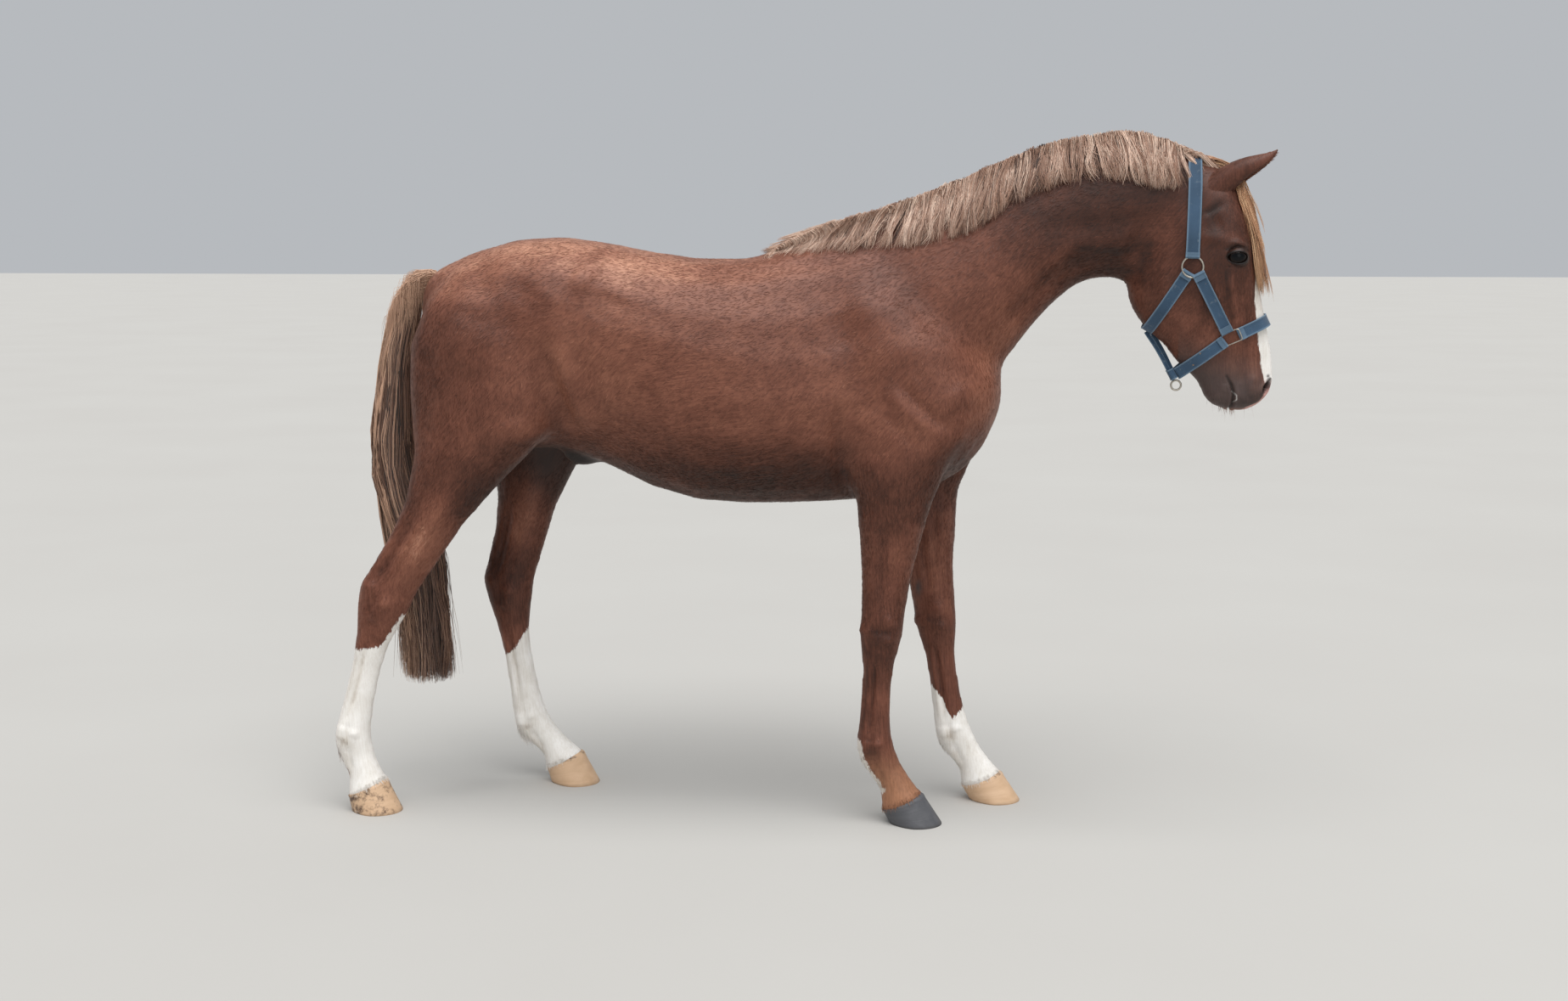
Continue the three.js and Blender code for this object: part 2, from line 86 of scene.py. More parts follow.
def selectOnly(*objects):
    if bpy.context.object and bpy.context.object.mode != "OBJECT":
        bpy.ops.object.mode_set(mode="OBJECT")
    bpy.ops.object.select_all(action="DESELECT")
    for each in objects:
        each.select_set(True)
    bpy.context.view_layer.objects.active = objects[0]


def applyModifier(piece, kind, **settings):
    selectOnly(piece)
    modifier = piece.modifiers.new(kind.title(), kind)
    for name, value in settings.items():
        setattr(modifier, name, value)
    bpy.ops.object.modifier_apply(modifier=modifier.name)


def pieceOf(name, mesh):
    piece = bpy.data.objects.new(name, mesh)
    bpy.context.collection.objects.link(piece)
    return piece


def joined(name, pieces):
    selectOnly(*pieces)
    if len(pieces) > 1:
        bpy.ops.object.join()
    pieces[0].name = name
    pieces[0].data.name = name
    return pieces[0]


def mergeDoubles(piece, distance=0.00005):
    selectOnly(piece)
    bpy.ops.object.mode_set(mode="EDIT")
    bpy.ops.mesh.select_all(action="SELECT")
    bpy.ops.mesh.remove_doubles(threshold=distance)
    bpy.ops.mesh.normals_make_consistent(inside=False)
    bpy.ops.object.mode_set(mode="OBJECT")


# One field of every vertex, edge or face, a row for each.
def readAll(parts, field, width=3, kind=float):
    values = np.empty(len(parts) * width, kind)
    parts.foreach_get(field, values)
    return values.reshape(-1, width)


def pointsOf(piece):
    return readAll(piece.data.vertices, "co")


def placePoints(piece, points):
    piece.data.vertices.foreach_set("co", points.ravel())
    piece.data.update()


def normalsOf(piece):
    return readAll(piece.data.vertices, "normal")


# Evens a surface without shrinking it: each round draws points to their neighbours, then back out.
def evenOut(piece, rounds, weight):
    points = pointsOf(piece)
    a, b = readAll(piece.data.edges, "vertices", 2, np.int32).T
    count = len(points)
    linked = np.bincount(a, minlength=count) + np.bincount(b, minlength=count)
    weight = np.broadcast_to(weight, count)[:, None]
    draw, push = 0.6, -0.61
    for turn in range(2 * rounds):
        middle = np.empty_like(points)
        for axis in range(3):
            column = points[:, axis]
            middle[:, axis] = np.bincount(a, column[b], count) + np.bincount(b, column[a], count)
        middle /= np.maximum(linked, 1)[:, None]
        points = points + (draw if turn % 2 == 0 else push) * weight * (middle - points)
    placePoints(piece, points)


def unit(ways):
    lengths = np.linalg.norm(ways) if ways.ndim == 1 else np.linalg.norm(ways, axis=-1, keepdims=True)
    return ways / np.maximum(lengths, 1e-9)


# Reads a table at places along its first column, and gives its other column there, or each of them.
def readRows(rows, places):
    table = np.array(rows)
    found = [np.interp(places, table[:, 0], column) for column in table.T[1:]]
    return found if len(found) > 1 else found[0]


def ramp(value, low, high):
    share = np.clip((value - low) / (high - low), 0, 1)
    return share * share * (3 - 2 * share)


# One at a place and fading round it. Each distance is given as a share of how far it fades.
def fade(*away):
    return np.exp(-sum(each ** 2 for each in away))


# Adds one of the basic shapes, with nothing else selected.
def addShape(shape, name, **settings):
    bpy.ops.object.select_all(action="DESELECT")
    getattr(bpy.ops.mesh, f"primitive_{shape}_add")(**settings)
    piece = bpy.context.object
    piece.name = name
    bpy.ops.object.transform_apply()
    bpy.ops.object.shade_smooth()
    return piece


# A closed tube through rings of points, each ring with the same number of corners.
def tubeMesh(name, points, count):
    faces = [tuple(range(count))[::-1], tuple(range(len(points) - count, len(points)))]
    for ring in range(len(points) // count - 1):
        for i in range(count):
            a, b = ring * count + i, ring * count + (i + 1) % count
            faces.append((a, b, b + count, a + count))
    mesh = bpy.data.meshes.new(name)
    mesh.from_pydata([tuple(p) for p in points], [], faces)
    return pieceOf(name, mesh)


# Gives a finished piece its material and place in the frame.
def dress(piece, material, slot, *replaced):
    piece.data.materials.clear()
    piece.data.materials.append(material)
    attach(piece, "root")
    if replaced:
        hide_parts(*replaced)


# Several pieces that stand for one node: the first replaces it.
def dressAll(pieces, material, slot, node):
    for i, piece in enumerate(pieces):
        dress(piece, material, slot, *([] if i else [node]))


def stage(name, pieces=()):
    print("stage:", name, sum(len(piece.data.polygons) for piece in pieces) or "")


sides = ((-1, "right"), (1, "left"))


def chance(*count):
    return rng.uniform(0, 1, count)


# Goes into edit mode with only the flagged vertices or faces selected.
def selectWhere(piece, kind, flags):
    selectOnly(piece)
    for each in ("vertices", "edges", "polygons"):
        parts = getattr(piece.data, each)
        parts.foreach_set("select", flags if each == kind else np.zeros(len(parts), bool))
    bpy.ops.object.mode_set(mode="EDIT")
    bpy.ops.mesh.select_mode(type="VERT" if kind == "vertices" else "FACE")


# Divides the faces whose middle passes a test.
def divideWhere(piece, test):
    selectWhere(piece, "polygons", test(readAll(piece.data.polygons, "center")))
    bpy.ops.mesh.subdivide(number_cuts=1, smoothness=0)
    bpy.ops.object.mode_set(mode="OBJECT")


# Distance in the side view from each point to a path of (x, z) places, and how far along it that is.
def fromPath(points, path):
    flat = points[:, [0, 2]]
    places = np.array(path, float) + [carried, 0]
    lengths = np.linalg.norm(np.diff(places, axis=0), axis=1)
    whole = max(lengths.sum(), 1e-9)
    best = np.full(len(points), 1e9)
    share = np.zeros(len(points))
    done = 0
    for start, end, length in zip(places[:-1], places[1:], lengths):
        along = (end - start) / length
        reach = np.clip((flat - start) @ along, 0, length)
        away = np.linalg.norm(flat - start - reach[:, None] * along, axis=1)
        nearer = away < best
        best[nearer] = away[nearer]
        share[nearer] = (done + reach[nearer]) / whole
        done += length
    return best, share


# The camera, the floor and the light.

view = {"place": (0.5326, -5.1931, 1.54), "turn": 6.5, "dip": 7.767, "lens": 45.94}
eyePoint = Vector(view["place"]) + Vector((carried, 0, 0))
bpy.ops.object.camera_add(location=eyePoint, rotation=(math.radians(90 - view["dip"]), 0,
                                                       math.radians(view["turn"])))
camera = bpy.context.object
camera.data.lens = view["lens"]
camera.data.sensor_width = 36
camera.data.clip_end = 200
bpy.context.scene.camera = camera


# Adds one shader node. Each input is given a value, a colour in hex, a socket that feeds it, or a node
# whose first output does. A colour ramp is also given its stops, as places and colours in hex.
def addNode(tree, kind, inputs=None, stops=(), **settings):
    node = tree.nodes.new("ShaderNode" + kind)
    for name, value in settings.items():
        setattr(node, name, value)
    for name, value in (inputs or {}).items():
        source = value.outputs[0] if isinstance(value, bpy.types.Node) else value
        if isinstance(source, bpy.types.NodeSocket):
            tree.links.new(source, node.inputs[name])
        else:
            node.inputs[name].default_value = linear(value) if isinstance(value, str) else value
    if stops:
        marked = node.color_ramp.elements
        marked[0].position, marked[1].position = stops[0][0], stops[-1][0]
        for place, _ in stops[1:-1]:
            marked.new(place)
        for each, (_, hexColour) in zip(marked, stops):
            each.color = linear(hexColour)
    return node


def newMaterial(name):
    material = bpy.data.materials.new(name)
    material.use_nodes = True
    material.node_tree.nodes.clear()
    return material, partial(addNode, material.node_tree)


studio = {
    "floor": ("b4b1ac", "bab8b3"), "floorSize": 80, "sky": "e9edf2", "skyPower": 0.58,
    "sun": 3.1, "sunSpread": 55, "sunTurn": (20, 14),  # strength, and degrees off straight down and round
    "front": 20, "frontPlace": (2.4, -4.5, 2.6), "frontTurn": (68, 24), "frontSize": 3,
}


def buildStudio():
    floor = addShape("grid", "floor", x_subdivisions=24, y_subdivisions=24, size=studio["floorSize"],
                     location=(0, studio["floorSize"] / 4, 0))
    # Painted concrete: pale, matt and a little mottled, so that it shows little but the shadow.
    material, add = newMaterial("painted concrete")
    place = add("TexCoord")
    mottle = add("TexNoise", {"Vector": place.outputs["Object"], "Scale": 0.8, "Detail": 3})
    tone = add("MixRGB", {"Fac": mottle, "Color1": studio["floor"][0], "Color2": studio["floor"][1]})
    shader = add("BsdfPrincipled", {"Base Color": tone, "Roughness": 0.9})
    add("OutputMaterial", {"Surface": shader})
    floor.data.materials.append(material)
    world = bpy.data.worlds.new("studio")
    world.use_nodes = True
    sky = world.node_tree.nodes["Background"]
    sky.inputs["Color"].default_value = linear(studio["sky"])
    sky.inputs["Strength"].default_value = studio["skyPower"]
    bpy.context.scene.world = world
    dip, turn = np.radians(studio["sunTurn"])
    bpy.ops.object.light_add(type="SUN", rotation=(dip, 0, turn))
    sun = bpy.context.object.data
    sun.energy = studio["sun"]
    sun.angle = math.radians(studio["sunSpread"])
    dip, turn = np.radians(studio["frontTurn"])
    bpy.ops.object.light_add(type="AREA", location=studio["frontPlace"], rotation=(dip, 0, turn))
    front = bpy.context.object.data
    front.shape = "DISK"
    front.size = studio["frontSize"]
    front.energy = studio["front"]


buildStudio()
bpy.context.scene.view_settings.view_transform = "Standard"
stage("camera, floor and light")


# The skin. One surface over all the flesh, evened, drawn in by the coat's depth and then worked.

skin = {
    "grain": 0.0115,         # size of its faces on the trunk
    "rounds": 150,           # how often it is evened
    "coatDepth": 0.002,
    "sheath": (-0.583, 0, 0.925), "sheathSize": 0.034, "sheathDrop": 0.012,
    "hoofInset": 0.006,      # how far the skin is drawn in where the horn covers it
    "lowest": 0.006,
    "jawTrim": 0.016,        # how far the lower edge of the jaw is drawn in
    "eye": (1.085, 0.08, 1.468),
    "eyeRadius": 0.0268,
    "lid": 0.0026,           # thickness of a lid
    "opening": (0.0242, 0.0124, 0.016),  # half the length of the eye's opening, its rise and its drop
    "eyeFine": 0.043, "eyeWorked": 0.055,  # how far round the eyes the faces are finer, and are moved
    "nostril": (1.176, 0.036, 1.143),
    "nostrilSize": (0.008, 0.021),
    "headLine": 0.83,        # how far forward the finer faces start, counted along the throat's slope
}
fleshNodes = ["head", "neck", "trunk"] + [
    f"{word}_{part}"
    for _, word in sides
    for part in ("forearm", "gaskin", "fore_cannon", "hind_cannon")
]
hoofNodes = [f"{word}_{end}_hoof" for _, word in sides for end in ("fore", "hind")]

# The joints of each leg in the side view, from elbow or stifle down to the coronet, and how far the
# coronet is tipped.
legs = {
    "right_fore": {"side": -1, "tip": 23,
                   "joints": [(0.24, 0.85), (0.209, 0.505), (0.192, 0.205), (0.265, 0.056)]},
    "left_fore": {"side": 1, "tip": 21,
                  "joints": [(0.298, 0.85), (0.34, 0.495), (0.388, 0.19), (0.466, 0.056)]},
    "right_hind": {"side": -1, "tip": 23,
                   "joints": [(-0.885, 0.93), (-1.1, 0.573), (-1.194, 0.205), (-1.157, 0.062)]},
    "left_hind": {"side": 1, "tip": 26,
                  "joints": [(-0.762, 0.93), (-0.852, 0.55), (-0.79, 0.178), (-0.696, 0.062)]},
}

# Work on both sides of the body: how high it stands in millimetres, or how deep below zero, its width,
# and its path in the side view.
bodyWork = [
    (-10, 0.018, [(-0.64, 1.24), (-0.622, 1.142), (-0.608, 1.089), (-0.578, 1.02)]),  # crease of the flank
    (9, 0.024, [(-0.6, 1.275), (-0.586, 1.175), (-0.556, 1.085), (-0.52, 1.01)]),  # fold ahead of it
    (10, 0.04, [(-0.575, 1.425), (-0.525, 1.4)]),  # point of the hip
    (-6, 0.06, [(-0.47, 1.38), (-0.5, 1.3)]),  # hollow of the flank
    (-5, 0.07, [(-0.68, 1.4), (-0.72, 1.35)]),  # behind the hip
    (7, 0.08, [(-0.86, 1.33), (-0.9, 1.18)]),  # muscle of the rump
    (-7, 0.022, [(-0.87, 1.24), (-0.88, 1.11), (-0.905, 1.01)]),  # seam down the back of the thigh
    (9, 0.045, [(-0.735, 1.06), (-0.715, 0.985)]),  # stifle
    (-12, 0.016, [(0.1, 1.09), (0.098, 0.987), (0.106, 0.93), (0.124, 0.86)]),  # back of the triceps
    (7, 0.06, [(0.165, 1.09), (0.185, 0.98)]),  # triceps
    (5, 0.045, [(0.12, 1.4), (0.215, 1.31), (0.33, 1.2)]),  # ridge of the shoulder blade
    (-5, 0.04, [(0.08, 1.33), (0.11, 1.23)]),  # behind the shoulder blade
    (7, 0.045, [(0.395, 1.15), (0.42, 1.09)]),  # point of the shoulder
    (-9, 0.011, [(0.245, 1.165), (0.298, 1.105), (0.338, 1.069), (0.395, 1.03)]),  # below it
    (6, 0.016, [(0.225, 1.13), (0.29, 1.07), (0.34, 1.035)]),
    (-4, 0.01, [(0.205, 1.085), (0.262, 1.03), (0.3, 0.985)]),
    (-9, 0.013, [(0.478, 1.02), (0.43, 0.945), (0.38, 0.885)]),  # fold between breast and forearm
    (-5, 0.03, [(0.629, 1.54), (0.755, 1.545), (0.838, 1.56), (0.908, 1.584)]),  # under the crest
    (5, 0.045, [(0.56, 1.43), (0.7, 1.49), (0.82, 1.52)]),  # long muscle of the neck
    (-6, 0.022, [(0.48, 1.25), (0.59, 1.375), (0.69, 1.445), (0.795, 1.45)]),  # furrow of the throat
    (-6, 0.018, [(0.852, 1.545), (0.832, 1.5), (0.818, 1.45)]),  # behind the jaw
]
headWork = [
    (4, 0.009, [(1.066, 1.418), (1.08, 1.345), (1.086, 1.31)]),  # crest of the cheek
    (-3, 0.018, [(1.1, 1.4), (1.118, 1.33), (1.128, 1.27)]),
    (4, 0.022, [(0.9, 1.43), (0.92, 1.34), (0.96, 1.29)]),  # muscle of the jaw
    (-3, 0.012, [(1.012, 1.4), (1.01, 1.32), (0.975, 1.25)]),
    (-3.5, 0.02, [(1.02, 1.545), (1.046, 1.556)]),  # hollow above the eye
    (2.6, 0.014, [(0.985, 1.52), (1.03, 1.512), (1.066, 1.508)]),  # arch behind it
    (4, 0.008, [(1.062, 1.5), (1.085, 1.503), (1.112, 1.492)]),  # brow
    (-2.2, 0.0045, [(1.058, 1.487), (1.082, 1.494), (1.11, 1.483)]),  # fold of the upper lid
    (-1.4, 0.004, [(1.058, 1.446), (1.082, 1.44), (1.104, 1.448)]),  # fold under the eye
    (4, 0.02, [(1.04, 1.12), (1.056, 1.104)]),  # chin
    (3, 0.018, [(1.11, 1.105), (1.13, 1.12)]),  # upper lip
    (4.5, 0.012, [(1.146, 1.172), (1.132, 1.15), (1.134, 1.128)]),  # wing of the nostril
    (-3, 0.007, [(1.152, 1.122), (1.136, 1.112), (1.118, 1.118)]),  # below it
    (-2.5, 0.01, [(1.112, 1.18), (1.106, 1.15)]),
    (3, 0.012, [(1.068, 1.15), (1.062, 1.125)]),  # lower lip
    (2, 0.005, [(1.048, 1.372), (1.02, 1.33), (1.0, 1.3)]),  # veins of the cheek
    (1.6, 0.004, [(1.1, 1.33), (1.092, 1.29), (1.096, 1.25), (1.088, 1.215)]),
    (-3, 0.009, [(0.998, 1.572), (1.027, 1.586), (1.05, 1.602)]),  # crease under the ear
]
mouthPath = [(1.08, 1.077), (1.088, 1.098), (1.09, 1.122), (1.084, 1.146), (1.072, 1.168)]

# The same for legs. A path's places are along the joints, and ahead of the line between them.
footWork = [
    (7, 0.015, [(1.93, -0.024), (2.02, -0.028)]),  # back of the fetlock
    (6, 0.012, [(1.94, 0.01), (2.02, 0.01)]),
    (-3.5, 0.007, [(1.9, -0.01), (1.98, -0.008), (2.06, -0.014)]),
    (-5, 0.01, [(2.14, -0.014), (2.4, -0.018), (2.62, -0.02)]),  # side of the pastern
]
foreWork = [
    (-7, 0.0075, [(1.2, -0.012), (1.6, -0.012), (1.86, -0.015)]),  # between bone and tendon
    (3.5, 0.006, [(1.2, -0.024), (1.6, -0.024), (1.86, -0.027)]),  # tendon
    (8, 0.016, [(0.95, -0.046), (1.03, -0.046)]),  # bone behind the knee
    (7, 0.014, [(0.86, 0.012), (0.94, 0.02)]),
    (-5, 0.007, [(0.97, -0.03), (0.985, 0.0), (0.98, 0.034)]),  # between the rows of the knee
    (7, 0.016, [(1.03, 0.022), (1.08, 0.02)]),
    (-4.5, 0.01, [(1.12, -0.02), (1.13, 0.012)]),
    *footWork,
    (-8, 0.013, [(0.2, -0.014), (0.5, -0.012), (0.78, -0.008)]),  # seams of the forearm
    (-6, 0.011, [(0.12, 0.03), (0.4, 0.022), (0.7, 0.01)]),
    (7, 0.026, [(0.12, 0.052), (0.42, 0.04)]),
    (6, 0.024, [(0.1, -0.05), (0.4, -0.04)]),
]
hindWork = [
    (-13, 0.014, [(0.4, -0.03), (0.65, -0.032), (0.9, -0.036)]),  # ahead of the tendon of the hock
    (8, 0.015, [(0.97, 0.016), (1.04, 0.012)]),
    (7, 0.013, [(0.93, -0.05), (0.99, -0.048)]),  # point of the hock
    (-7, 0.01, [(0.97, -0.02), (1.13, -0.018)]),
    (6, 0.012, [(1.06, -0.006), (1.14, -0.004)]),
    (-4.5, 0.009, [(1.17, -0.022), (1.18, 0.014)]),
    (-7, 0.008, [(1.26, -0.013), (1.6, -0.013), (1.86, -0.016)]),
    (3.5, 0.0065, [(1.26, -0.026), (1.6, -0.026), (1.86, -0.029)]),
    *footWork,
    (8, 0.026, [(0.12, 0.03), (0.45, 0.022)]),
    (-5, 0.01, [(0.3, 0.008), (0.6, 0.004), (0.85, 0.002)]),  # between the muscles of the gaskin
]


def eyeCentre(side):
    x, y, z = skin["eye"]
    return Vector((x + carried, side * y, z))


def alongLeg(joints, place, ahead):
    i = min(int(place), len(joints) - 2)
    start, end = np.array(joints[i]), np.array(joints[i + 1])
    along = unit(end - start)
    return tuple(start + (end - start) * (place - i) + ahead * np.array([-along[1], along[0]]))


# Raises or sinks the surface along a path, on the side or sides that face across.
def work(points, normals, height, width, path, inSide=None):
    away, share = fromPath(points, path)
    facing = ramp(np.abs(normals[:, 1]), 0.05, 0.45)
    if inSide:
        facing = facing * (points[:, 1] * inSide > 0.02)
    taper = 0.3 + 0.7 * ramp(share, 0, 0.25) * ramp(1 - share, 0, 0.25)
    return points + normals * (height / 1000 * fade(away / width) * facing * taper)[:, None]


def workAll(surface, rows, inSide=None):
    points = pointsOf(surface)
    normals = normalsOf(surface)
    for height, width, path in rows:
        points = work(points, normals, height, width, path, inSide)
    placePoints(surface, points)


def buildSkin():
    pieces = [pieceOf(name + "Copy", nodes[name].data.copy()) for name in fleshNodes + hoofNodes]
    for side in (-1, 1):
        size = skin["eyeRadius"] + 0.001
        pieces.append(addShape("uv_sphere", "ball", radius=size, location=eyeCentre(side)))
    surface = joined("skin", pieces)
    mergeDoubles(surface)
    applyModifier(surface, "REMESH", mode="VOXEL", voxel_size=skin["grain"], use_smooth_shade=True)
    keepOutside(surface)

    # Head and legs are evened less.
    points = pointsOf(surface)
    weight = 0.25 + 0.75 * ramp(points[:, 2], 0.72, 1.0) * (1 - 0.8 * ramp(headwardOf(points), 0.8, 0.9))
    evenOut(surface, skin["rounds"], weight)
    points = pointsOf(surface)
    x, z = points[:, 0] - carried, points[:, 2]
    edge = np.interp(z, [1.1, 1.18, 1.22, 1.272, 1.32, 1.4], [1.02, 0.97, 0.922, 0.874, 0.842, 0.83])
    trim = skin["jawTrim"] * fade((z - 1.24) / 0.04) * ramp(x - edge, 0.11, 0.01) * (x > 0.8)
    points[:, 0] += trim
    # The sheath, under the belly.
    away = (points - [carried, 0, 0] - skin["sheath"]).T / skin["sheathSize"]
    points[:, 2] -= skin["sheathDrop"] * fade(*away)
    placePoints(surface, points)
    workAll(surface, bodyWork)
    divideWhere(surface, lambda p: headwardOf(p) > skin["headLine"])
    divideWhere(surface, lambda p: (p[:, 2] < 0.42) & (p[:, 2] > 0.03))
    evenOut(surface, 4, 0.8)
    placePoints(surface, pointsOf(surface) - normalsOf(surface) * skin["coatDepth"])
    workAll(surface, [(1.3 * height, width, path) for height, width, path in headWork])
    for name, leg in legs.items():
        rows = foreWork if name.endswith("fore") else hindWork
        placed = [(height, width, [alongLeg(leg["joints"], *place) for place in path])
                  for height, width, path in rows]
        workAll(surface, placed, inSide=leg["side"])
    drawInsideHooves(surface)
    addEars(surface)
    openEyes(surface)
    openNostrils(surface)
    cutMouth(surface)
    selectOnly(surface)
    bpy.ops.object.shade_smooth()
    return surface


# Drops the small loose shells that are left inside, keeping what is joined to the highest point.
def keepOutside(piece):
    selectWhere(piece, "vertices", pointsOf(piece)[:, 2] == pointsOf(piece)[:, 2].max())
    bpy.ops.mesh.select_linked()
    bpy.ops.mesh.select_all(action="INVERT")
    bpy.ops.mesh.delete(type="VERT")
    bpy.ops.object.mode_set(mode="OBJECT")


# How far each point is below a leg's coronet, towards the ground.
def belowCoronet(points, leg):
    x, z = leg["joints"][3]
    tip = math.radians(leg["tip"])
    below = (points[:, 0] - carried - x) * math.sin(tip) - (points[:, 2] - z) * math.cos(tip)
    return np.where((points[:, 1] * leg["side"] > 0) & (np.abs(points[:, 0] - carried - x) < 0.16)
                    & (points[:, 2] < 0.16), below, -1)


# Which places are on a leg, below a height.
def onLeg(points, name, height):
    x, y, z = (points - [carried, 0, 0]).T
    return (y * legs[name]["side"] > 0.02) & (z < height) & ((x > -0.3) == name.endswith("fore"))


def drawInsideHooves(surface):
    points = pointsOf(surface)
    normals = normalsOf(surface)
    for leg in legs.values():
        inside = ramp(belowCoronet(points, leg), -0.002, 0.008)
        points -= normals * (skin["hoofInset"] * inside)[:, None]
        points[:, 2] = np.where(inside > 0.5, np.maximum(points[:, 2], skin["lowest"]), points[:, 2])
    placePoints(surface, points)


# The ears: cups that open forward and down, joined into the skin.
ear = {
    "base": (1.036, 0.046, 1.64),
    "tip": (1.177, 0.072, 1.7305),
    "turnOut": 12,           # how far the opening faces away from the middle, in degrees
    # share of the length, half width, half depth, its middle's height, half the opening in degrees
    "rows": [(-0.34, 0.034, 0.04, 0, 0), (-0.1, 0.032, 0.037, 0, 0), (0.06, 0.031, 0.034, 0.002, 4),
             (0.2, 0.03, 0.034, 0.003, 18), (0.38, 0.029, 0.03, 0.003, 34), (0.56, 0.025, 0.027, 0, 42),
             (0.74, 0.0175, 0.019, -0.004, 46), (0.86, 0.011, 0.0112, -0.0045, 46),
             (0.94, 0.006, 0.0055, -0.0025, 40), (1.0, 0.0014, 0.0014, 0, 20)],
    "wall": 0.0032,
    "sides": 26,
    "rings": 34,
}


# An ear's foot, its tip, and the ways along it, out of its opening and across it.
def earFrame(side):
    base, tip = (np.array(ear[end]) * [1, side, 1] + [carried, 0, 0] for end in ("base", "tip"))
    along = unit(tip - base)
    opening = np.array([math.sin(math.radians(32)), side * math.tan(math.radians(ear["turnOut"])), -0.87])
    opening = unit(opening - along * (opening @ along))
    return base, tip, along, opening, np.cross(along, opening)


def earMesh(side):
    base, tip, _, opening, across = earFrame(side)
    points = []
    rings = ear["rings"] // 2
    shares = np.concatenate([np.linspace(-0.34, 0.6, rings), np.linspace(0.65, 1, rings)])
    for share in shares:
        half, depth, lift, gape = readRows(ear["rows"], share)
        centre = base + (tip - base) * share - opening * lift
        wall = min(ear["wall"], half * 0.45)
        sweep = np.radians(180 - gape)
        angles = np.linspace(-sweep, sweep, ear["sides"])
        for wide, deep, order in ((half, depth, 1), (half - wall, depth - wall, -1)):
            if share < 0.06:
                wide, deep = (half, depth) if order > 0 else (half * 0.4, depth * 0.4)
            for a in angles[::order]:
                points.append(centre + across * (wide * math.sin(a)) - opening * (deep * math.cos(a)))
    piece = tubeMesh("ear", points, 2 * ear["sides"])
    mergeDoubles(piece, 0.00002)
    return piece


def addEars(surface):
    for side in (-1, 1):
        piece = earMesh(side)
        applyModifier(surface, "BOOLEAN", operation="UNION", object=piece, solver="EXACT")
        bpy.data.objects.remove(piece)
    points = pointsOf(surface)
    foot = np.array(ear["base"]) + [carried, 0, 0]
    near = np.linalg.norm((points - foot * [1, 0, 1])[:, [0, 2]], axis=1)
    weight = 0.8 * (1 - ramp(near, 0.03, 0.062)) * (points[:, 2] > 1.55)
    evenOut(surface, 6, weight)


def openEyes(surface):
    def near(p):
        away = (np.linalg.norm(p - eyeCentre(side), axis=1) for side in (-1, 1))
        return np.minimum(*away) < skin["eyeFine"]
    for _ in range(2):
        divideWhere(surface, near)
    points = pointsOf(surface)
    long, rise, drop = skin["opening"]
    cover = skin["eyeRadius"] + skin["lid"]
    for side in (-1, 1):
        centre = np.array(eyeCentre(side))
        u, y, v = (points - centre).T
        v = v - 0.06 * u
        u = u + 0.3 * np.minimum(v, 0)
        facing = (np.linalg.norm(points - centre, axis=1) < skin["eyeWorked"]) & (y * side > -0.01)
        opening = (u / long) ** 2 + (v / np.where(v > 0, rise, drop)) ** 2
        ball = np.sqrt(np.maximum(cover ** 2 - u ** 2 - v ** 2, 0))
        lid = facing & (u ** 2 + v ** 2 < cover ** 2)
        share = 1 - ramp(np.sqrt(u ** 2 + v ** 2), cover * 0.8, cover * 0.99)
        out = np.maximum(y * side, 0)
        lidded = out + (ball - out) * share
        # The margin turns in over the eye, and inside it the skin is tucked behind the eye.
        tuck = ramp(opening, 1.12, 0.86)
        depth = lidded * (1 - tuck) + (ball * 0.55) * tuck
        points[:, 1] = np.where(lid, centre[1] + side * depth, points[:, 1])
    placePoints(surface, points)


# Places in a nostril's own frame: across it, along it and out of it.
def nostrilFrame(points, side):
    x, y, z = skin["nostril"]
    out = unit(np.array([0.84, side * 0.53, 0.1]))
    up = np.array([0.42, -side * 0.35, 0.84])
    up = unit(up - out * (up @ out))
    off = points - [x + carried, side * y, z]
    return off @ np.cross(up, out), off @ up, off @ out, out


def openNostrils(surface):
    def near(p):
        frames = (nostrilFrame(p, side) for side in (-1, 1))
        return np.minimum(*(np.hypot(u, v) + np.abs(w) for u, v, w, _ in frames)) < 0.05
    divideWhere(surface, near)
    points = pointsOf(surface)
    wide, high = skin["nostrilSize"]
    for side in (-1, 1):
        u, v, w, out = nostrilFrame(points, side)
        u = u + 9 * v ** 2 * side
        width = wide * (1.15 - 0.45 * np.clip(v / high, -1, 1))
        shape = (u / width) ** 2 + (v / high) ** 2
        local = (np.abs(w) < 0.03) & (np.abs(v) < 0.06) & (np.abs(u) < 0.05)
        sink = -0.02 * ramp(shape, 1.15, 0.35)
        rim = 0.0035 * fade((np.sqrt(shape) - 1.25) / 0.28)
        points += np.where(local, sink + rim, 0)[:, None] * out
    placePoints(surface, points)


def cutMouth(surface):
    divideWhere(surface, lambda p: (fromPath(p, mouthPath)[0] < 0.016))
    points = pointsOf(surface)
    normals = normalsOf(surface)
    away, share = fromPath(points, mouthPath)
    groove = -0.006 * fade(away / 0.003) * (1 - 0.6 * ramp(share, 0.7, 1))
    lip = 0.0028 * fade((away - 0.008) / 0.0042) * ramp(share, 1.0, 0.5)
    points += normals * (groove + lip)[:, None]
    placePoints(surface, points)


surface = buildSkin()
skinPoints = pointsOf(surface)
skinNormals = normalsOf(surface)
skinTree = BVHTree.FromObject(surface, bpy.context.evaluated_depsgraph_get())
stage("skin", [surface])


# The first place where a ray meets the skin, or nothing.
def onSkin(start, direction, reach=4.0):
    return skinTree.ray_cast(Vector(start), Vector(direction), reach)[0]


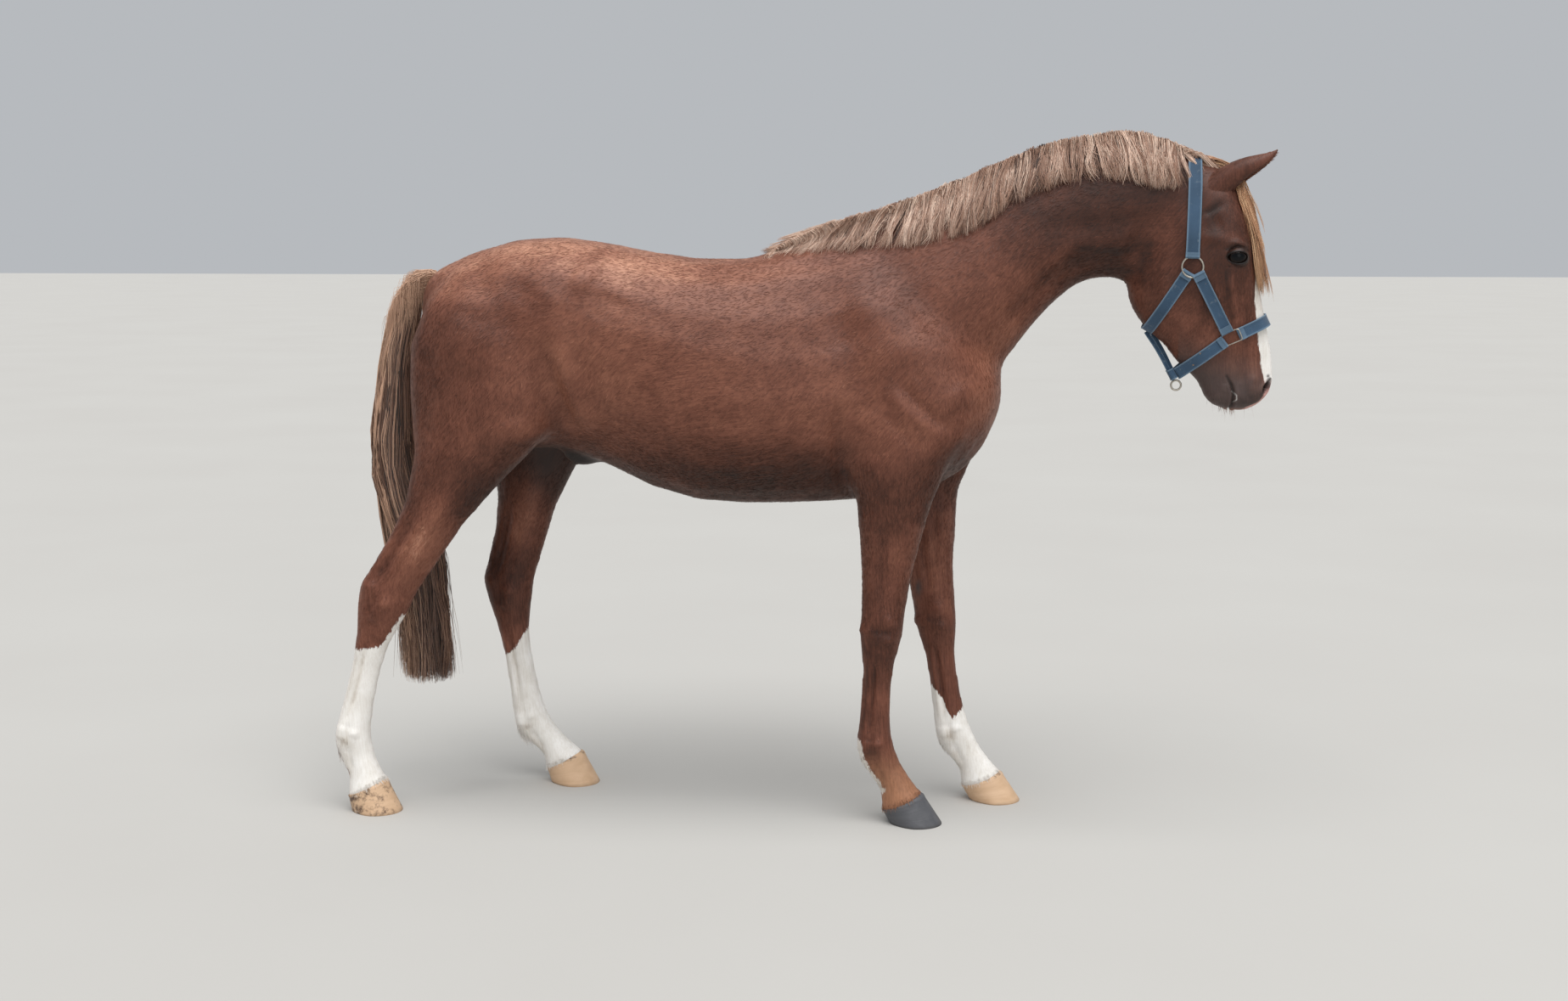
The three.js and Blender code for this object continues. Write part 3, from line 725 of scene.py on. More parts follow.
# Markings. Each is stated in the side view, as the line where the white ends.
marks = {
    # height, and how far back from the front of the face the blaze reaches
    "blaze": [(1.078, 0.0), (1.09, 0.012), (1.105, 0.013), (1.135, 0.016), (1.175, 0.032), (1.24, 0.035),
              (1.3, 0.03), (1.36, 0.025), (1.4, 0.018), (1.43, 0.01), (1.47, 0.0)],
    # height, and where the front of the face is
    "front": [(1.078, 1.11), (1.103, 1.168), (1.13, 1.187), (1.172, 1.193), (1.222, 1.188), (1.278, 1.177),
              (1.345, 1.162), (1.425, 1.146), (1.51, 1.13)],
    "right_hind": [(-1.18, 0.438), (-1.133, 0.446), (-1.103, 0.451), (-1.086, 0.475), (-1.066, 0.505),
                   (-1.048, 0.532)],
    "left_hind": [(-0.88, 0.354), (-0.849, 0.366), (-0.819, 0.394), (-0.804, 0.423), (-0.785, 0.45)],
    "left_fore": [(0.315, 0.33), (0.335, 0.312), (0.359, 0.285), (0.375, 0.245), (0.387, 0.227),
                  (0.4, 0.243), (0.42, 0.258)],
    "heelStrip": [(0.148, 0.212), (0.155, 0.17), (0.17, 0.14), (0.209, 0.092)],
    "tanStrip": [(-1.241, 0.212), (-1.238, 0.172), (-1.222, 0.128), (-1.2, 0.1)],
    "lipEdge": [(1.086, 1.13), (1.098, 1.119), (1.098, 1.109), (1.09, 1.102)],
}


# How far inside the white a place is, how grey, orange or dark the coat is there, and how pink the white is.
# The dark is partly painted shade: in the groin, inside the nostrils and along the groove of the mouth.
def marksAt(points):
    x, y, z = (points - [carried, 0, 0]).T
    depth, back = readRows(marks["blaze"], z), readRows(marks["front"], z) - x
    white = np.where((x > 1.02) & (z > 1.07), np.minimum(depth - back, 1.46 - z), -0.05)
    curl = fade(fromPath(points, marks["lipEdge"])[0] / 0.0034)
    white = np.where((z < 1.14) & (x > 1.02), np.maximum(white, -0.003 + 0.003 * curl), white)
    orange = np.where((y < -0.02) & (x > 0) & (z < 0.5), 0.75 * ramp(z, 0.22, 0.08), 0)
    for name in legs:
        mine = onLeg(points, name, 0.62)
        if name in marks:
            white = np.where(mine, 0.75 * (readRows(marks[name], x) - z), white)
        else:
            strip = 0.0125 - fromPath(points, marks["heelStrip"])[0]
            white = np.where(mine, np.where(z < 0.24, strip, -0.05), white)
    tan = (0.006 - fromPath(points, marks["tanStrip"])[0]) * 70
    tan = np.where((z < 0.24) & (y < 0), np.clip(tan, 0, 1), 0)
    white, orange = np.where(tan > 0, -0.004 * tan, white), np.maximum(orange, 0.8 * tan)

    muzzle = (x > 0.95) & (z < 1.3)
    grey = np.where(muzzle, ramp(z + 0.25 * (x - 1.1), 1.265, 1.13), 0)
    grey = grey * (1 - 0.7 * ramp(z, 1.09, 1.08)) * (1 - 0.12 * ramp(x, 1.115, 1.14))
    # The horny patches inside the forelegs.
    horny = fade((x - 0.294) / 0.008, (z - 0.587) / 0.018)
    horny = np.maximum(horny, fade((x - 0.215) / 0.008, (z - 0.6) / 0.018) * (y < 0))
    grey = np.maximum(grey, 1.4 * horny * (np.abs(y) < 0.118))
    pink = np.where(muzzle, ramp(z, 1.165, 1.14) * ramp(back, 0.05, 0.02), 0)

    # The sheath, and painted shade in the groin behind it.
    dark = 1.5 * fade((x + 0.59) / 0.08, y / 0.06, (z - 0.94) / 0.05)
    dark = np.maximum(dark, 0.95 * fade((x + 0.68) / 0.12, (y - 0.03) / 0.095, (z - 0.91) / 0.1))
    for side in (-1, 1):
        centre = np.array(eyeCentre(side))
        u, v = points[:, 0] - centre[0], points[:, 2] - centre[2]
        u = u + 0.3 * np.minimum(v, 0)
        long, rise, drop = skin["opening"]
        ringed = np.sqrt((u / long) ** 2 + (v / np.where(v > 0, 1.12 * rise, drop)) ** 2)
        lids = 1 - ramp(ringed, 1.03, np.where(v > 0, 1.38, 1.5))
        dark = np.maximum(dark, np.where((y * side > 0.05) & (z > 1.35), lids, 0))
        across, up, out, _ = nostrilFrame(points, side)
        # Painted shade inside the nostrils.
        hole = 0.9 * (1 - ramp(np.hypot(across / 0.011, up / 0.026), 0.75, 1.2))
        dark = np.maximum(dark, np.where((np.abs(out) < 0.03) & (z < 1.25), hole, 0))
    # Painted shade along the groove of the mouth.
    mouth = fromPath(points, mouthPath)[0]
    dark = np.maximum(dark, np.where(z < 1.2, 0.8 * fade(mouth / 0.0032), 0))
    upperLip = fade((x - 1.14) / 0.034, (z - 1.1) / 0.019)
    dark = np.maximum(dark, np.where(muzzle, 0.82 * upperLip * ramp(white, 0.001, -0.006), 0))
    spot = fade((x - 1.1765) / 0.004, (z - 1.168) / 0.004) * (y < 0)
    dark = np.maximum(dark, np.where(muzzle, spot, 0))
    # Darker along the edge of the coronets, where the skin meets the horn.
    for leg in legs.values():
        low = belowCoronet(points, leg)
        dark = np.maximum(dark, 0.25 * ramp(low, -0.005, 0.001) * (low > -0.5))
    return white, np.clip(grey, 0, 1), orange, np.clip(dark, 0, 1), pink


# The lie of the coat, as the way it points at places in the side view.
lie = [
    (0.05, 1.5, -0.85, -0.5), (-0.4, 1.47, -1, -0.15), (-0.8, 1.5, -0.95, -0.35), (-0.97, 1.3, -0.2, -1),
    (-0.3, 1.2, -1, -0.25), (-0.1, 0.88, -1, -0.05), (-0.45, 0.95, -0.9, 0.1), (-0.57, 1.15, -0.5, -0.7),
    (-0.8, 1.15, -0.35, -1), (-0.7, 1.35, -0.9, -0.5), (0.1, 1.15, -0.8, -0.55), (0.28, 1.2, -0.5, -0.85),
    (0.45, 1.12, -0.25, -1), (0.33, 1.42, -0.75, -0.65), (0.52, 1.5, -0.7, -0.75), (0.6, 1.35, -0.6, -0.85),
    (0.75, 1.62, -0.85, -0.5), (0.75, 1.44, -0.95, -0.3), (0.9, 1.55, -0.9, -0.4), (0.95, 1.35, -0.5, -0.85),
    (1.02, 1.62, -0.5, -0.8), (1.1, 1.62, 0.3, -1), (1.08, 1.35, 0.05, -1), (1.12, 1.15, 0.1, -1),
    (0.2, 0.8, -0.1, -1), (0.2, 0.4, 0, -1), (0.25, 0.12, 0.5, -0.9), (0.45, 0.12, 0.5, -0.9),
    (0.36, 0.45, 0.1, -1), (-0.95, 0.85, -0.45, -0.9), (-1.12, 0.45, -0.2, -1), (-1.17, 0.12, 0.3, -0.95),
    (-0.8, 0.8, -0.3, -0.95), (-0.82, 0.4, 0.2, -1), (-0.73, 0.12, 0.5, -0.9),
]


def lieAt(points, normals):
    rows = np.array(lie)
    flat = points[:, [0, 2]] - [carried, 0]
    away = ((flat[:, None, :] - rows[None, :, :2]) ** 2).sum(axis=2)
    share = 1 / (away + 0.004) ** 1.6
    way = share @ unit(rows[:, 2:]) / share.sum(axis=1)[:, None]
    way = np.stack([way[:, 0], np.zeros(len(points)), way[:, 1]], axis=1)
    return unit(way - normals * (way * normals).sum(axis=1)[:, None])


def addAttribute(mesh, name, kind, values):
    field = {"FLOAT": "value", "FLOAT_COLOR": "color", "FLOAT_VECTOR": "vector"}[kind]
    made = mesh.attributes.new(name, kind, "POINT")
    made.data.foreach_set(field, np.ascontiguousarray(values, np.float32).ravel())


# Painted light and shade on the head, darker in its hollows, creases and folds and lighter on the brow and
# the
# crest of the cheek, with a paler ear: lighter or darker, how wide, and the path in the side view.
headTones = [
    (-0.15, 0.012, [(1.036, 1.6), (1.016, 1.56), (1.022, 1.53)]),  # behind the brow
    (-0.14, 0.01, [(1.0, 1.575), (1.03, 1.59)]),
    (-0.25, 0.0032, [(1.058, 1.486), (1.082, 1.493), (1.108, 1.484)]),  # fold of the upper lid
    (0.12, 0.012, [(1.052, 1.52), (1.09, 1.516)]),
    (-0.12, 0.008, [(1.058, 1.43), (1.07, 1.35), (1.077, 1.31)]),  # behind the crest of the cheek
    (0.1, 0.008, [(1.074, 1.42), (1.086, 1.35), (1.092, 1.31)]),
    (-0.13, 0.012, [(1.02, 1.4), (1.016, 1.32), (0.975, 1.24)]),
    (-0.16, 0.014, [(0.87, 1.5), (0.858, 1.45), (0.852, 1.4)]),
    (-0.1, 0.01, [(1.12, 1.33), (1.118, 1.25), (1.112, 1.2)]),
    (-0.16, 0.007, [(1.128, 1.15), (1.12, 1.128), (1.135, 1.112)]),
    (0.14, 0.05, [(1.08, 1.655), (1.15, 1.715)]),  # the ear
    (-0.16, 0.01, [(0.7, 1.49), (0.8, 1.48), (0.85, 1.5)]),  # folds of the neck
    (-0.12, 0.009, [(0.64, 1.4), (0.76, 1.44), (0.83, 1.43)]),
]

# Painted light and shade along the legs, darker in the grooves and under the joints, lighter on their fronts
# and the
# gaskin: how much lighter or darker, how wide, and the path, stated as for the work on them.
legLightAndShade = {
    "fore": [
        (-0.15, 0.0055, [(1.16, -0.01), (1.55, -0.011), (1.84, -0.014)]),
        (-0.13, 0.005, [(1.16, -0.029), (1.55, -0.029), (1.84, -0.032)]),
        (-0.09, 0.022, [(1.0, -0.02), (1.06, 0.015)]),
        (-0.1, 0.01, [(0.97, -0.03), (0.985, 0.0), (0.98, 0.034)]),
        (0.09, 0.014, [(0.89, 0.02), (0.94, 0.026)]),
        (-0.26, 0.017, [(2.01, -0.022), (2.09, 0.002)]),
        (0.09, 0.014, [(1.9, 0.012), (1.98, 0.018)]),
        (-0.12, 0.012, [(2.25, -0.026), (2.7, -0.028)]),
        (0.1, 0.02, [(0.3, 0.02), (0.75, 0.012)]),
        (-0.1, 0.016, [(0.15, -0.02), (0.7, -0.012)]),
    ],
    "hind": [
        (-0.16, 0.016, [(0.45, -0.03), (0.7, -0.033), (0.92, -0.036)]),
        (0.34, 0.04, [(0.15, 0.018), (0.7, 0.01)]),
        (-0.12, 0.022, [(1.02, -0.03), (1.12, -0.01)]),
        (0.1, 0.014, [(0.96, 0.01), (1.04, 0.012)]),
        (-0.17, 0.0055, [(1.3, -0.012), (1.6, -0.013), (1.84, -0.016)]),
        (-0.15, 0.005, [(1.4, -0.03), (1.6, -0.03), (1.8, -0.033)]),
        (-0.24, 0.014, [(2.02, -0.026), (2.1, -0.004)]),
        (-0.14, 0.012, [(2.25, -0.026), (2.7, -0.028)]),
    ],
}


# Tone of whole regions, most of it painted light and shade: how much lighter or darker, and the stretches
# over which it comes in, each an axis with where it starts and where it is full. "up" is how far the surface
# faces up.
edge = 1e-9  # a stretch as short as this is a plain limit
regionTones = [
    # Painted light along the top line, where the surface faces up.
    (0.14, ("up", 0.3, 0.85), ("z", 1.3, 1.3 + edge), ("x", 0.2, -0.1)),  # the top line
    (0.14, ("up", 0.3, 0.85), ("z", 1.3, 1.3 + edge), ("x", -0.1, -0.5)),
    # Painted shade on the underside, where the surface faces down.
    (-0.16, ("up", -0.1, -0.7), ("z", 0.8, 0.8 + edge)),  # the underside
    # Painted shade low on the barrel.
    (-0.25, ("z", 1.06, 0.88), ("z", 0.7, 0.86), ("x", 0.6, 0.45)),  # low on the barrel
    # Painted light on the breast.
    (0.14, ("x", 0.4, 0.47), ("z", 0.9, 1.0), ("z", 1.35, 1.25)),  # the breast
    (-0.13, ("x", 0.5, 0.8), ("z", 1.0, 1.0 + edge)),  # neck and head
    # Painted shade under the mane.
    (-0.29, ("z", 1.36, 1.6), ("x", 0.3, 0.6), ("x", 0.98, 0.86)),  # under the mane
    (-0.15, ("z", 1.3, 1.5), ("x", 0.88, 0.99)),
    # Painted shade on the back of the rump.
    (-0.12, ("x", -0.74, -0.92), ("z", 0.95, 1.1), ("z", 1.42, 1.32)),  # back of the rump
    (-0.13, ("x", -0.3, -0.3 + edge), ("y", 0, -edge), ("z", 0.86, 0.68)),  # the right foreleg
    # Painted shade down the left hind leg, on the side away from the camera.
    (-0.15, ("x", -0.3, -0.3 - edge), ("y", 0, edge), ("z", 0.38, 0.5), ("z", 0.86, 0.68)),  # left hind leg
    (0.3, ("x", 1.0, 1.0 + edge), ("z", 1.09, 1.078)),  # the lips
]
# Painted light round a place: how much, the place in the side view, and how far it fades along and up.
paintedLightSpots = [
    (0.08, 0.95, 1.38, 0.08, 0.09),  # cheek
    (0.17, 0.885, 1.53, 0.06, 0.07),  # behind the jaw
    # A painted sheen on the loin.
    (0.13, -0.42, 1.43, 0.1, 0.05),  # loin
]
# Painted light on the fold of the flank.
flankPaintedLight = (0.13, 0.03, [(-0.61, 1.24), (-0.596, 1.13), (-0.56, 1.04)])  # the lit fold of the flank


# How much lighter or darker than the middle chestnut the coat is at a place, most of it painted light and
# shade.
def shadeAt(points, normals):
    x, y, z = (points - [carried, 0, 0]).T
    axes = {"x": x, "y": y, "z": z, "up": normals[:, 2]}
    shade = np.zeros(len(x))
    for amount, *stretches in regionTones:
        shade += amount * np.prod([ramp(axes[axis], low, high) for axis, low, high in stretches], axis=0)
    for amount, placeX, placeZ, wide, high in paintedLightSpots:
        shade += amount * fade((x - placeX) / wide, (z - placeZ) / high)
    amount, width, path = flankPaintedLight
    shade += amount * fade(fromPath(points, path)[0] / width)
    headward = x > 0.6
    for amount, width, path in headTones:
        shade[headward] += amount * fade(fromPath(points[headward], path)[0] / width)
    for name, leg in legs.items():
        mine = onLeg(points, name, 0.95)
        jx, jz = leg["joints"][1]
        # Painted shade round the knees and hocks.
        shade -= 0.06 * fade((x - jx) / 0.09, (z - jz) / 0.085) * mine
        for amount, width, path in legLightAndShade[name.split("_")[1]]:
            away, share = fromPath(points[mine], [alongLeg(leg["joints"], *place) for place in path])
            taper = 0.4 + 0.6 * ramp(share, 0, 0.2) * ramp(1 - share, 0, 0.2)
            shade[mine] += amount * fade(away / width) * taper
    return shade


# Gives a mesh the coat's markings, and its painted light and shade. Each of the places stands for a few of
# its points.
def markMesh(mesh, places, normals, way, tone, each=1):
    white, grey, orange, dark, pink = marksAt(places)
    tone = tone + np.repeat(shadeAt(places, normals), each)
    marked = np.repeat(np.stack([white, grey, orange, dark], axis=1), each, axis=0)
    addAttribute(mesh, "marks", "FLOAT_COLOR", marked)
    # How much the coat lies back, aslant and down, the strand's own tone with the painted light and shade in
    # it, and the pink.
    slope = np.degrees(np.arctan2(-way[:, 2], -way[:, 0]))
    lies = np.exp(-((slope[:, None] - [8, 50, 95]) / [30, 26, 34]) ** 2) + [0, 0, 0.02]
    lies /= lies.sum(axis=1)[:, None]
    addAttribute(mesh, "lie", "FLOAT_VECTOR", np.repeat(lies, each, axis=0))
    ragged = np.where(places[:, 2] > 1, np.where(places[:, 2] < 1.14, 0.004, 0.012), 0.022)
    own = np.repeat(np.stack([pink, ragged], axis=1), each, axis=0)
    addAttribute(mesh, "own", "FLOAT_VECTOR", np.column_stack([tone, own]))


# Short chestnut horsehair over skin. It is sleek, so it has a soft sheen along the body, and fine
# streaks that follow the lie. The white is bare of pigment, with a ragged edge.
coat = {
    "chestnut": [(0, "27130b"), (0.28, "4c2718"), (0.52, "6f4130"), (0.76, "8c5944"), (1, "bf8b71")],
    "white": [(0, "a39383"), (0.26, "e2dcd3"), (0.5, "f7f4ef")],
    "grey": "403a39", "orange": "b88462", "dark": "191312", "pink": "b98a82",
    "hair": 0.0011, "strand": 0.016,  # across and along one streak, coarser than hair so that it shows
}


def coatMaterial():
    material, add = newMaterial("short horsehair")
    place = add("TexCoord").outputs["Object"]
    marked = add("Attribute", attribute_name="marks")
    parts = add("SeparateColor", {"Color": marked})
    lies = add("SeparateXYZ", {0: add("Attribute", attribute_name="lie").outputs["Vector"]})
    own = add("SeparateXYZ", {0: add("Attribute", attribute_name="own").outputs["Vector"]})

    # Streaks along each of three ways, blended by the lie.
    streak = 0.0
    for angle, share in zip((8, 50, 95), "XYZ"):
        turned = add("Mapping", {"Vector": place, "Rotation": (0, -math.radians(angle), 0),
                                 "Scale": (coat["strand"] / coat["hair"], 1, 1)}, vector_type="TEXTURE")
        noise = add("TexNoise", {"Vector": turned, "Scale": 0.25 / coat["hair"], "Detail": 3,
                                 "Roughness": 0.6})
        streak = add("Math", {0: noise, 1: lies.outputs[share], 2: streak}, operation="MULTIPLY_ADD")

    patches = add("TexNoise", {"Vector": place, "Scale": 3.2, "Detail": 4, "Roughness": 0.55})
    dapple = add("TexNoise", {"Vector": place, "Scale": 17, "Detail": 3, "Roughness": 0.6})
    tone = -0.18
    for noise, share in ((patches, 0.55), (dapple, 0.35), (streak, 0.55)):
        tone = add("Math", {0: noise, 1: share, 2: tone}, operation="MULTIPLY_ADD")
    # The mesh's tone brings in the painted light and shade.
    tone = add("Math", {0: tone, 1: own.outputs["X"]}, operation="ADD")
    chestnut = add("ValToRGB", {"Fac": tone}, stops=coat["chestnut"])
    grain = add("Math", {0: tone, 1: 0.9, 2: 0.42}, operation="MULTIPLY_ADD")
    orange = add("MixRGB", {"Fac": 1.0, "Color1": coat["orange"], "Color2": grain}, blend_type="MULTIPLY")
    grey = add("Math", {0: parts.outputs["Green"], 1: 0.85}, operation="MULTIPLY")

    # The edge of the white is drawn out into points, along the hair.
    fine = add("Mapping", {"Vector": place, "Scale": (1, 1, 0.22)})
    ragged = add("TexNoise", {"Vector": fine, "Scale": 150, "Detail": 3, "Roughness": 0.65})
    off = add("Math", {0: ragged, 1: 0.5}, operation="SUBTRACT")
    edge = add("Math", {0: off, 1: own.outputs["Z"], 2: parts.outputs["Red"]}, operation="MULTIPLY_ADD")
    white = add("MapRange", {"Value": edge, "From Min": -0.0012, "From Max": 0.0016})
    # The white takes the same painted light and shade.
    pale = add("Math", {0: streak, 1: 0.4, 2: own.outputs["X"]}, operation="MULTIPLY_ADD")
    pale = add("Math", {0: dapple, 1: 0.4, 2: pale}, operation="MULTIPLY_ADD")
    whites = add("ValToRGB", {"Fac": pale}, stops=coat["white"])
    pinked = add("MixRGB", {"Fac": own.outputs["Y"], "Color1": whites, "Color2": coat["pink"]})
    colour = chestnut
    for share, over in ((parts.outputs["Blue"], orange), (grey, coat["grey"]), (white, pinked),
                        (marked.outputs["Alpha"], coat["dark"])):
        colour = add("MixRGB", {"Fac": share, "Color1": colour, "Color2": over})
    bump = add("Bump", {"Height": streak, "Strength": 0.5, "Distance": 0.0012})
    shader = add("BsdfPrincipled", {
        "Base Color": colour, "Normal": bump, "Roughness": 0.52, "Specular IOR Level": 0.35,
        "Sheen Weight": 0.14, "Sheen Roughness": 0.45, "Sheen Tint": "e8c0ac"})
    add("OutputMaterial", {"Surface": shader})
    return material


horsehair = coatMaterial()
dress(surface, horsehair, "coat", *fleshNodes, "right_ear", "left_ear")
skinWay = lieAt(skinPoints, skinNormals)
markMesh(surface.data, skinPoints, skinNormals, skinWay, np.zeros(len(skinPoints)))
stage("coat material")


# A place's spot on a flat chart of the skin: each limb is unrolled round its own line into its own cell.
def chartAt(points):
    x, y, z = (points - [carried, 0, 0]).T
    fore = x > -0.3
    cells = [  # test, middle across, middle along the way unrolled, and the cell's corner and size
        (np.ones(len(x), bool), np.arctan2(y, z - 1.17), (x + 1.02) / 1.55, (0.02, 0.52, 0.56, 0.46)),
        ((x > 0.1) & (z > 1.15 + 0.5 * np.abs(x - 0.4)), np.arctan2(y, z - 1.3 - 0.3 * (x - 0.3)),
         (x - 0.1) / 0.85, (0.6, 0.52, 0.38, 0.46)),
        (headwardOf(points) > skin["headLine"], np.arctan2(y, x - 1.02 - 0.2 * (1.4 - z)), (z - 1.05) / 0.72,
         (0.02, 0.02, 0.44, 0.46)),
    ]
    for i, (side, isFore) in enumerate([(-1, True), (1, True), (-1, False), (1, False)]):
        middle = 0.23 if isFore else np.where(z > 0.5, -0.95, -1.12 if side < 0 else -0.78)
        mine = (y * side > 0) & (fore == isFore) & (z < 0.86)
        cell = (0.48 + 0.125 * i, 0.02, 0.12, 0.46)
        cells.append((mine, np.arctan2(y * side - 0.13, x - middle), z / 0.9, cell))
    u, v = np.zeros(len(x)), np.zeros(len(x))
    for test, angle, along, (left, low, wide, high) in cells:
        u = np.where(test, left + wide * (angle / (2 * math.pi) + 0.5), u)
        v = np.where(test, low + high * np.clip(along, 0, 1), v)
    return np.stack([u, v], axis=1)


def meshFromArrays(name, points, faces):
    mesh = bpy.data.meshes.new(name)
    count, corners = faces.shape
    mesh.vertices.add(len(points))
    mesh.vertices.foreach_set("co", points.astype(np.float32).ravel())
    mesh.loops.add(count * corners)
    mesh.loops.foreach_set("vertex_index", faces.astype(np.int32).ravel())
    mesh.polygons.add(count)
    mesh.polygons.foreach_set("loop_start", np.arange(0, count * corners, corners, dtype=np.int32))
    mesh.polygons.foreach_set("use_smooth", np.ones(count, bool))
    mesh.update(calc_edges=True)
    return pieceOf(name, mesh)


tuftPatch = 0.003  # a tuft's patch on the chart


def chartMesh(piece, faces, chart):
    layer = piece.data.uv_layers.new(name="OFBake")
    layer.data.foreach_set("uv", chart[faces.ravel()].astype(np.float32).ravel())


# The coat's tufts. Each is a thin pointed blade of five corners, rooted in the skin and lying along it.
tufts = {
    "perMetre": {"body": 30000, "small": 62000},   # tufts to a square metre
    "length": {"body": 0.013, "small": 0.0062},
    "width": {"body": 0.0016, "small": 0.0009},
    "lift": {"body": 0.0012, "small": 0.0006},     # how far a tip stands off the skin
    "parts": 4, "quickShare": 0.25,
    "vary": {"length": (0.7, 0.6), "width": (0.7, 0.6), "lift": (0.5, 1.0)},  # the least, and how much more
    "turn": 0.16, "rooted": 0.0004, "waist": 0.55,  # its widest place, along it
    "tone": 0.055,
    "tipTone": [-0.035, -0.035, 0.0, 0.0, 0.06],   # from a tuft's foot to its tip
}


# How much of a place is face, ear or lower leg, where tufts are smallest.
def smallHaired(points):
    return np.maximum(ramp(headwardOf(points), 0.86, 0.98), ramp(points[:, 2], 0.66, 0.48))


def bareAt(points, dark):
    bare = dark > 0.55
    for side in (-1, 1):
        centre = np.array(eyeCentre(side))
        u, v = points[:, 0] - centre[0], points[:, 2] - centre[2]
        bare |= (np.hypot(u, 1.25 * v) < 0.0265) & (points[:, 1] * side > 0.04)
        across, up, out, _ = nostrilFrame(points, side)
        bare |= (np.hypot(across, up) < 0.025) & (np.abs(out) < 0.03)
    bare |= (fromPath(points, mouthPath)[0] < 0.006) & (points[:, 2] < 1.2)
    for leg in legs.values():
        bare |= belowCoronet(points, leg) > 0.0
    return bare


def buildTufts():
    mesh = surface.data
    mesh.calc_loop_triangles()
    corners = readAll(mesh.loop_triangles, "vertices", 3, np.int32)
    a, b, c = (skinPoints[corners[:, i]] for i in range(3))
    area = np.linalg.norm(np.cross(b - a, c - a), axis=1) / 2
    small = smallHaired((a + b + c) / 3)
    density = tufts["perMetre"]["body"] * (1 - small) + tufts["perMetre"]["small"] * small
    wanted = area * density * 1
    counts = rng.poisson(wanted)
    face = np.repeat(np.arange(len(corners)), counts)
    s, t = rng.uniform(0, 1, (2, len(face)))
    over = s + t > 1
    s[over], t[over] = 1 - s[over], 1 - t[over]
    share = np.stack([1 - s - t, s, t], axis=1)[..., None]
    roots = (skinPoints[corners[face]] * share).sum(axis=1)
    normals = unit((skinNormals[corners[face]] * share).sum(axis=1))
    white, grey, _, dark, _ = marksAt(roots)
    keep = ~bareAt(roots, dark) & (chance(len(roots)) > 0.6 * grey)
    roots, normals, white, grey = roots[keep], normals[keep], white[keep], grey[keep]
    count = len(roots)
    small = smallHaired(roots)
    finer = 1 - 0.4 * grey - 0.2 * (white > 0)

    def size(name):
        least, more = tufts["vary"][name]
        usual = (tufts[name]["body"] * (1 - small) + tufts[name]["small"] * small) * finer
        return usual * (least + more * chance(count))

    way = lieAt(roots, normals)
    side = np.cross(normals, way)
    # The coat is a little ruffled: neighbouring tufts turn together, in waves some way apart.
    x, _, z = roots.T
    ruffle = 0.22 * np.sin(70 * x + 25 * z + 6 * np.sin(31 * z))
    ruffle += 0.16 * np.sin(55 * z - 40 * x + 5 * np.sin(23 * x))
    turn = ruffle * (1 - 0.6 * small) + tufts["turn"] * rng.normal(0, 1, count)
    way = way * np.cos(turn)[:, None] + side * np.sin(turn)[:, None]
    side = np.cross(normals, way)
    length, wide, lift = size("length"), size("width") / 2, size("lift")
    tips = roots + way * length[:, None]
    normalAtTip = normals.copy()
    for i in range(count):
        hit, normal, _, _ = skinTree.find_nearest(Vector(tips[i]), 0.02)
        if hit:
            tips[i] = hit
            normalAtTip[i] = normal
    tips = tips + normalAtTip * lift[:, None]
    waist = tufts["waist"]
    middles = (1 - waist) * roots + waist * tips + normals * (0.35 * lift)[:, None]
    base = roots - normals * tufts["rooted"]
    points = np.stack([base - side * wide[:, None] * 0.7, base + side * wide[:, None] * 0.7,
                       middles - side * wide[:, None], middles + side * wide[:, None], tips], axis=1)
    tone = rng.normal(0.0, tufts["tone"], count)
    chart = chartAt(roots)
    patch = np.array([(0, 0), (1, 0), (0, 0.5), (1, 0.5), (0.5, 1)]) * tuftPatch
    shape = np.array([(0, 1, 3), (0, 3, 2), (2, 3, 4)])
    pieces = []
    for part in range(tufts["parts"]):
        mine = np.arange(part, count, tufts["parts"])
        faces = (np.arange(len(mine))[:, None, None] * 5 + shape[None]).reshape(-1, 3)
        piece = meshFromArrays(f"coat_tufts_{part + 1}", points[mine].reshape(-1, 3), faces)
        markMesh(piece.data, roots[mine], normals[mine], way[mine],
                 np.repeat(tone[mine], 5) + np.tile(tufts["tipTone"], len(mine)), 5)
        chartMesh(piece, faces, (chart[mine][:, None] + patch[None]).reshape(-1, 2))
        dress(piece, horsehair, "coat")
        pieces.append(piece)
    return pieces


coatTufts = buildTufts()
stage("tufts", coatTufts)


